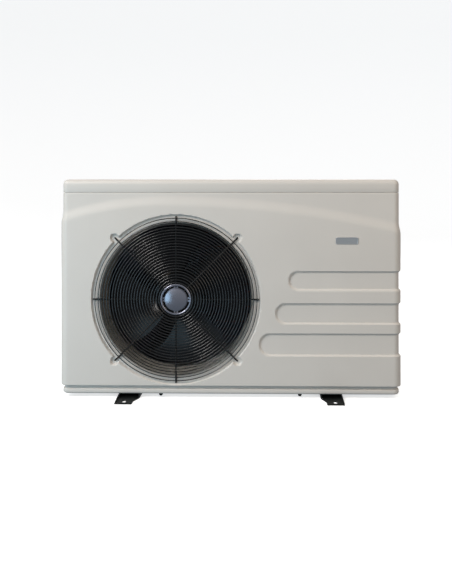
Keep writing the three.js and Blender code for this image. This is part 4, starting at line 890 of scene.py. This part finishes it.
for side, z in (("inlet", INLET_Z), ("outlet", OUTLET_Z)):
    at = [WATER_X, 0, z]
    piece(f"{side}_tail", [spin(tail_section, at, sides=64)], pipe_grey,
          stands_for=[f"{side}_union_tail"])
    ribbed = spin(nut_section, at, sides=192, ripple=nut_ribs)
    piece(f"{side}_nut_ribbed", [ribbed], hard_black, f"{side}_nut", [f"{side}_union_nut"])
piece("outlet_pipe", [spin(pipe_section, [WATER_X, 0, OUTLET_Z], sides=64)], pipe_grey,
      stands_for=["water_outlet_pipe"])
nodes["water_inlet_pipe"].data.materials[0] = pipe_grey

# %% [markdown]
# The cable gland has a six-sided nut below its domed cap. A ripple turns the round section into a hexagon:
# the radius of a hexagon is its flat's distance over the cosine of the angle from the flat's middle.

# %% Gland, drain and screws
gland_low, gland_high = np.array(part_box("cable_gland"))[:, 1] / MM
HEX_FLAT, HEX_CORNER = 11.2, 12.9  # from the axis to a flat, and to a corner


def hexagon(angle, radius, distance):
    """Turns a radius over the hexagon's flats into the hexagon itself."""
    from_flat = (angle + math.pi / 6) % (math.pi / 3) - math.pi / 6
    return (HEX_FLAT / np.cos(from_flat) - radius) * (radius == HEX_CORNER)


face = REAR_D + GAP
gland_section = [
    [6, gland_low], [9, gland_low], [9, face], [HEX_CORNER, face], [HEX_CORNER, face + 7], [11, face + 7.6],
    [11, face + 9], *arc(9, gland_high - 4, 2.4, 0, 60, 3), [7, gland_high], [6, gland_high],
]
piece("gland", [spin(gland_section, [GLAND_X, 0, GLAND_Z], sides=48, ripple=hexagon)], hard_black,
      stands_for=["cable_gland"], crease=30)
screw_at = middle("front_screw_right")
screw_low, screw_high = np.array(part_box("front_screw_right"))[:, 2] / MM
SHANK_R, HEAD_R, HEAD_TALL, DRIVE_DEEP = 2, 6, 7.3, 1.8
head_top = screw_low + HEAD_TALL
screw_section = [[0, screw_high], [SHANK_R, screw_high], [SHANK_R, head_top], [HEAD_R - 0.4, head_top],
                 [HEAD_R, head_top - 0.5], *arc(0, screw_low + HEAD_R, HEAD_R, 0, -66, 6),
                 [2, screw_low + DRIVE_DEEP], [0, screw_low + DRIVE_DEEP]]
for side, sign in (("left", -1), ("right", 1)):
    turned = spin(screw_section, [sign * screw_at[0], screw_at[1], 0], "z", 24)
    piece(f"screw_{side}", [turned], black_paint, stands_for=[f"front_screw_{side}"])

# %% [markdown]
# ## Softened edges
# The feet, the display's tray and its flap have the right shape already, but a pressed or moulded edge is
# never knife sharp. A copy of the node is merged into one surface, its flat triangles are joined into whole
# faces, and a live Bevel rounds the edges that are left.

# %% A bevelled copy
def softened(node, name, material, width, body="unit"):
    """A copy of a CAD node with rounded edges of that width in millimetres."""
    mesh = nodes[node].data.copy()
    mesh.name = name
    work = bmesh.new()
    work.from_mesh(mesh)
    bmesh.ops.remove_doubles(work, verts=work.verts, dist=2e-5)
    bmesh.ops.dissolve_limit(work, angle_limit=math.radians(2), verts=work.verts, edges=work.edges)
    bmesh.ops.recalc_face_normals(work, faces=work.faces)
    work.to_mesh(mesh)
    work.free()
    mesh.materials.clear()
    mesh.materials.append(material)
    obj = link(name, mesh)
    bevel = obj.modifiers.new("edge", "BEVEL")
    bevel.width = width * MM
    bevel.segments = 2
    bevel.limit_method = "ANGLE"
    bevel.angle_limit = math.radians(30)
    shade(mesh, 60)
    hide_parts(node)
    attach(obj, body)
    print(name, len(mesh.polygons), "faces before the bevel")


softened("foot_rail_left", "foot_left", black_paint, 0.8)
softened("foot_rail_right", "foot_right", black_paint, 0.8)
softened("display_housing", "display_tray", hard_black, 0.6)
softened("display_door", "display_flap", smoked, 0.4, body="door")

# %% [markdown]
# ## Display and gauge
# The three keys are shallow dished discs. The gauge is a steel cup with a white dial. The dial's marks are
# short raised bars round three quarters of a circle, all made in one piece.

# %% Keys
for i in (1, 2, 3):
    key_at = middle(f"display_button_{i}")
    key_low, key_high = np.array(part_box(f"display_button_{i}"))[:, 0] / MM
    key = [[0, key_low], [6, key_low], *arc(5.2, key_high - 0.8, 0.8, 0, 90, 4), [3.6, key_high],
           [2.4, key_high - 0.35], [0, key_high - 0.5]]
    piece(f"key_{i}", [spin(key, [0, *key_at[1:]], "x", 40)], button_white, f"button_{i}",
          [f"display_button_{i}"])

# %% Gauge
gauge_low, gauge_top = np.array(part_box("gauge_case"))[:, 0] / MM
GAUGE_R = gauge_half[2]
DIAL_X = HALF_W - 7
gauge_centre = [0, gauge_at[1], gauge_at[2]]
cup = [[0, gauge_low], [GAUGE_R - 1, gauge_low], [GAUGE_R, gauge_low + 1],
       *arc(GAUGE_R - 0.9, gauge_top - 0.9, 0.9, 0, 90, 4),
       *arc(GAUGE_R - 1.8, gauge_top - 0.8, 0.8, 90, 180, 3),
       [GAUGE_R - 2.6, DIAL_X - 0.4], [0, DIAL_X - 0.4]]
piece("gauge_cup", [spin(cup, gauge_centre, "x", 80)], bright, stands_for=["gauge_case"])
dial = [[0, DIAL_X - 0.4], [GAUGE_R - 2.8, DIAL_X - 0.4], [GAUGE_R - 2.8, DIAL_X], [0, DIAL_X]]
piece("gauge_dial", [spin(dial, gauge_centre, "x", 80)], button_white)
glass_low, glass_high = np.array(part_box("gauge_lens"))[:, 0] / MM
glass = [[0, glass_low], [GAUGE_R - 3, glass_low], [GAUGE_R - 3, glass_high - 0.5],
         [GAUGE_R - 3.6, glass_high], [0, glass_high]]
piece("gauge_glass", [spin(glass, gauge_centre, "x", 80)], lens, stands_for=["gauge_lens"])


def dial_mark(turn, long, wide):
    """A thin radial bar on the dial, its ends rounded, at an angle from straight down."""
    out = -math.cos(turn) * Z - math.sin(turn) * Y
    across = np.cross(out, X)
    base = np.array(gauge_centre) + (DIAL_X + 0.1) * X
    return bar((base + (GAUGE_R - 5) * out, base + (GAUGE_R - 5 - long) * out, across, X), wide / 2, 0.2, 8)


MARK_COUNT, MARK_FROM, MARK_SWEEP = 30, 45, 270  # degrees, from straight down
LONG_MARK, SHORT_MARK = (5, 0.9), (3, 0.5)  # length and width
marks = [
    dial_mark(math.radians(MARK_FROM + MARK_SWEEP * k / MARK_COUNT), *(SHORT_MARK if k % 5 else LONG_MARK))
    for k in range(MARK_COUNT + 1)
]
piece("gauge_marks", marks, hard_black)
nodes["gauge_needle"].data.materials[0] = signal_red

# %% [markdown]
# A small blank metal nameplate sits on the front, above the flutes. It carries no lettering: only a rounded
# plate with a raised rim.

# %% Nameplate
PLATE_X, PLATE_Z, PLATE_W, PLATE_H = 344, 466, 66, 20


def plate(half_x, half_z, radius, thick):
    """A rounded plate on the front face: a rim that rises and falls to a flat middle, then a back."""
    points, outs = rounded_rectangle(half_x, half_z, radius, 6)
    sunk, middle_y, rim = 0.3, -thick + 0.5, 2.0
    section = np.array([
        [0, 1, sunk], [0, 1, middle_y], [0.5, 1, -thick], [1.4, 1, -thick], [rim, 1, middle_y],
        [rim, 0.5, middle_y], [rim, 0, middle_y], [rim, 0, sunk], [0, 0.5, sunk], [0, 1, sunk],
    ])
    inset, shrink, y = section.T
    flat = (points[:, None] - inset[:, None] * outs[:, None]) * shrink[:, None]
    face_y = -HALF_D + np.broadcast_to(y, flat.shape[:2])
    return grid(np.stack([PLATE_X + flat[..., 0], face_y, PLATE_Z + flat[..., 1]], -1))


piece("nameplate", [plate(PLATE_W / 2, PLATE_H / 2, 4, 1.6)], nameplate_grey)

# %% [markdown]
# ## The coil
# The coil wraps the back and the left side. It is a few hundred thin upright aluminium fins threaded on
# rows of copper tube. A real fin is corrugated, which stirs the air and hides what is behind it, so each one
# is folded four times; at eighteen faces each, all of them still cost little. One function gives the place
# and direction at each distance along the coil, straight, then round the corner, then straight again, and
# both fins and tubes follow it.

# %% Coil
coil_low, coil_high = np.array(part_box("evaporator_coil")) / MM
COIL_THICK, COIL_BEND = 40, 34  # the bend's radius at the middle of the coil's thickness
FIN_PITCH, FIN_THICK, FIN_FOLD = 3.2, 0.4, 1.9
TUBE_PITCH, TUBE_R = 25.4, 4.8
BACK_RUN = coil_high[0] - coil_low[0] - COIL_THICK / 2 - COIL_BEND
SIDE_RUN = coil_high[1] - coil_low[1] - COIL_THICK / 2 - COIL_BEND
COIL_TURN = COIL_BEND * math.pi / 2


def along_coil(distance):
    """Middle line of the coil from its right end: place and outward direction at each distance along it."""
    bend = np.clip((distance - BACK_RUN) / COIL_BEND, 0, math.pi / 2)
    back, side = np.minimum(distance, BACK_RUN), np.clip(distance - BACK_RUN - COIL_TURN, 0, None)
    out = np.stack([-np.sin(bend), np.cos(bend)], -1)
    x = coil_high[0] - back - COIL_BEND * np.sin(bend)
    y = coil_high[1] - COIL_THICK / 2 - COIL_BEND * (1 - np.cos(bend)) - side
    return np.stack([x, y], -1), out


def fin_plates():
    """Every fin at once: a thin plate across the coil, folded into a zigzag of four, from the pan up."""
    place, out = along_coil(np.arange(FIN_PITCH, BACK_RUN + COIL_TURN + SIDE_RUN - FIN_FOLD, FIN_PITCH))
    run = np.stack([out[:, 1], -out[:, 0]], -1)
    across = np.linspace(-1, 1, 5) * COIL_THICK / 2
    fold = FIN_FOLD * np.array([-1, 1, -1, 1, -1])
    loop_out = np.concatenate([across, across[::-1]])
    loop_run = np.concatenate([fold + FIN_THICK / 2, fold[::-1] - FIN_THICK / 2])
    flat = place[:, None] + loop_out[:, None] * out[:, None] + loop_run[:, None] * run[:, None]
    ends = [np.concatenate([flat, np.full((*flat.shape[:2], 1), z)], -1) for z in (coil_low[2], coil_high[2])]
    points = np.concatenate(ends, 1)
    ring = np.arange(10)
    walls = np.stack([ring, (ring + 1) % 10, 10 + (ring + 1) % 10, 10 + ring], -1)
    strip = np.arange(4)
    floor = np.stack([strip, 9 - strip, 8 - strip, strip + 1], -1)
    faces = np.vstack([walls, floor, floor[:, ::-1] + 10])
    faces = (faces[None] + 20 * np.arange(len(place))[:, None, None]).reshape(-1, 4)
    print(len(place), "fins")
    return points.reshape(-1, 3), [faces]


def coil_tube(offset, height):
    """One tube along the coil, offset out from its middle line."""
    distance = np.concatenate([[0], np.linspace(BACK_RUN, BACK_RUN + COIL_TURN, 9),
                               [BACK_RUN + COIL_TURN + SIDE_RUN]])
    place, out = along_coil(distance)
    angle = circle_angles(10)[None]
    reach = offset + TUBE_R * np.cos(angle)
    flat = place[:, None] + reach[..., None] * out[:, None]
    tall = np.broadcast_to(height + TUBE_R * np.sin(angle), flat.shape[:2])
    return grid(np.concatenate([flat, tall[..., None]], -1))


piece("coil_fins", [fin_plates()], fin_metal, stands_for=["evaporator_coil"])
tube_rows = np.arange(coil_low[2] + TUBE_PITCH / 2, coil_high[2] - TUBE_R, TUBE_PITCH)
tubes = [coil_tube(offset, z) for z in tube_rows for offset in (-COIL_THICK / 4, COIL_THICK / 4)]
piece("coil_tubes", tubes, copper)

# %% [markdown]
# ## The machine inside
# The compressor, exchanger, valves, pipes and control box show only through the slots and the guard. They
# keep their solids, with the finish each is made in.

# %% Finishes for the inner nodes
INNER_FINISHES = (
    (black_paint, ["compressor", "suction_accumulator", "stator_core"]),
    (copper, ["coil_return_bends", "discharge_pipe", "suction_pipe", "hot_gas_pipe", "coil_gas_pipe",
              "liquid_pipe", "coil_liquid_pipe"]),
    (zinc, ["partition_plate", "control_box", "control_box_lid"]),
    (rubber, ["drain_nozzle", "inlet_seal", "outlet_seal", *(f"compressor_grommet_{i}" for i in (1, 2, 3))]),
    (bright, ["motor_bearing_front", "motor_bearing_rear", "flow_paddle"]),
    (brass, ["reversing_valve", "expansion_valve"]),
    (pipe_grey, ["heat_exchanger"]),
    (board_green, ["control_board"]),
    (hard_black, ["flow_switch"]),
    (screen, ["display_screen"]),
)
for material, names in INNER_FINISHES:
    for name in names:
        mesh = nodes[name].data
        mesh.materials.clear()
        mesh.materials.append(material)
print(sum(len(names) for _, names in INNER_FINISHES), "inner nodes have their finish")

# %% [markdown]
# ## Floor, light and camera
# The floor is the bottom of a wide white bowl, so no horizon shows from any side. It gives off a little light
# of its own to stay white, and it is left out of the light that falls on the machine: only the lamps and the
# sky do that, which keeps the relief on the casing clear.

# %% Floor and backdrop
def backdrop():
    """A bowl: flat out to a radius, then a quarter circle up, then straight up, spun about Z."""
    material = finish("backdrop_paper", (236, 236, 236), 0.9, drift=0.004, grain_depth=0.0)
    shader = material.node_tree.nodes["Principled BSDF"]
    shader.inputs["Emission Color"].default_value = [1, 1, 1, 1]
    shader.inputs["Emission Strength"].default_value = 0.6
    flat, bend, top = 5500, 3000, 12000
    section = [[r, 0] for r in np.linspace(0, flat, 9)]
    section += arc(flat, bend, bend, -90, 0, 18)[1:] + [[flat + bend, top]]
    bowl = link("backdrop", joined("backdrop", [spin(section, [0, 0, 0], "z", 96)], material, closed=False))
    bowl.data.shade_smooth()
    bowl.visible_diffuse = False
    bowl.visible_glossy = False
    bowl.visible_shadow = False


backdrop()


# %% Lights
def soft_light(name, place, aim, size, power, tint=(1, 1, 1)):
    """A square area light at a place in metres, turned towards a point."""
    data = bpy.data.lights.new(name, "AREA")
    data.shape = "SQUARE"
    data.size = size
    data.energy = power
    data.color = tint
    obj = bpy.data.objects.new(name, data)
    bpy.context.scene.collection.objects.link(obj)
    direction = np.array(aim, float) - np.array(place, float)
    obj.location = place
    obj.rotation_euler = [math.atan2(np.hypot(direction[0], direction[1]), -direction[2]), 0,
                          math.atan2(-direction[0], direction[1])]


soft_light("key", (-2.3, -2.1, 2.6), (0, 0, 0.3), 1.3, 98, (1.0, 0.96, 0.92))
soft_light("warm_fill", (1.9, -1.5, 1.5), (0.3, 0, 0.4), 1.2, 12, (1.0, 0.8, 0.58))
soft_light("cool_fill", (-1.4, -1.5, 0.25), (-0.3, 0, 0.05), 1.0, 9, (0.52, 0.82, 1.0))
soft_light("back", (0.6, 3.4, 2.8), (0, 0.8, 0.2), 2.2, 60)


def sky(above, below, strength):
    """Light from all round, blended from one colour below to another above by the height of the direction."""
    world = bpy.data.worlds.new("studio")
    world.use_nodes = True
    tree = world.node_tree
    split = tree.nodes.new("ShaderNodeSeparateXYZ")
    tree.links.new(tree.nodes.new("ShaderNodeTexCoord").outputs["Generated"], split.inputs["Vector"])
    height = remap(tree, split.outputs["Z"], 0, 1, -0.6, 0.6)
    background = tree.nodes["Background"]
    tree.links.new(blend(tree, height, below, above), background.inputs["Color"])
    background.inputs["Strength"].default_value = strength
    bpy.context.scene.world = world


sky([1.0, 1.0, 1.0, 1], [0.5, 0.58, 0.64, 1], 0.42)
bpy.context.scene.view_settings.view_transform = "Standard"

# %% Camera
camera_data = bpy.data.cameras.new("camera")
camera = bpy.data.objects.new("camera", camera_data)
bpy.context.scene.collection.objects.link(camera)
camera.location = (0.085, -2.19, 0.612)
camera.rotation_euler = (math.radians(90), 0, math.radians(1))
camera_data.lens = 41.97
camera_data.sensor_fit = "AUTO"
camera_data.sensor_width = 36
camera_data.shift_x = -0.036
camera_data.shift_y = -0.1728
bpy.context.scene.camera = camera
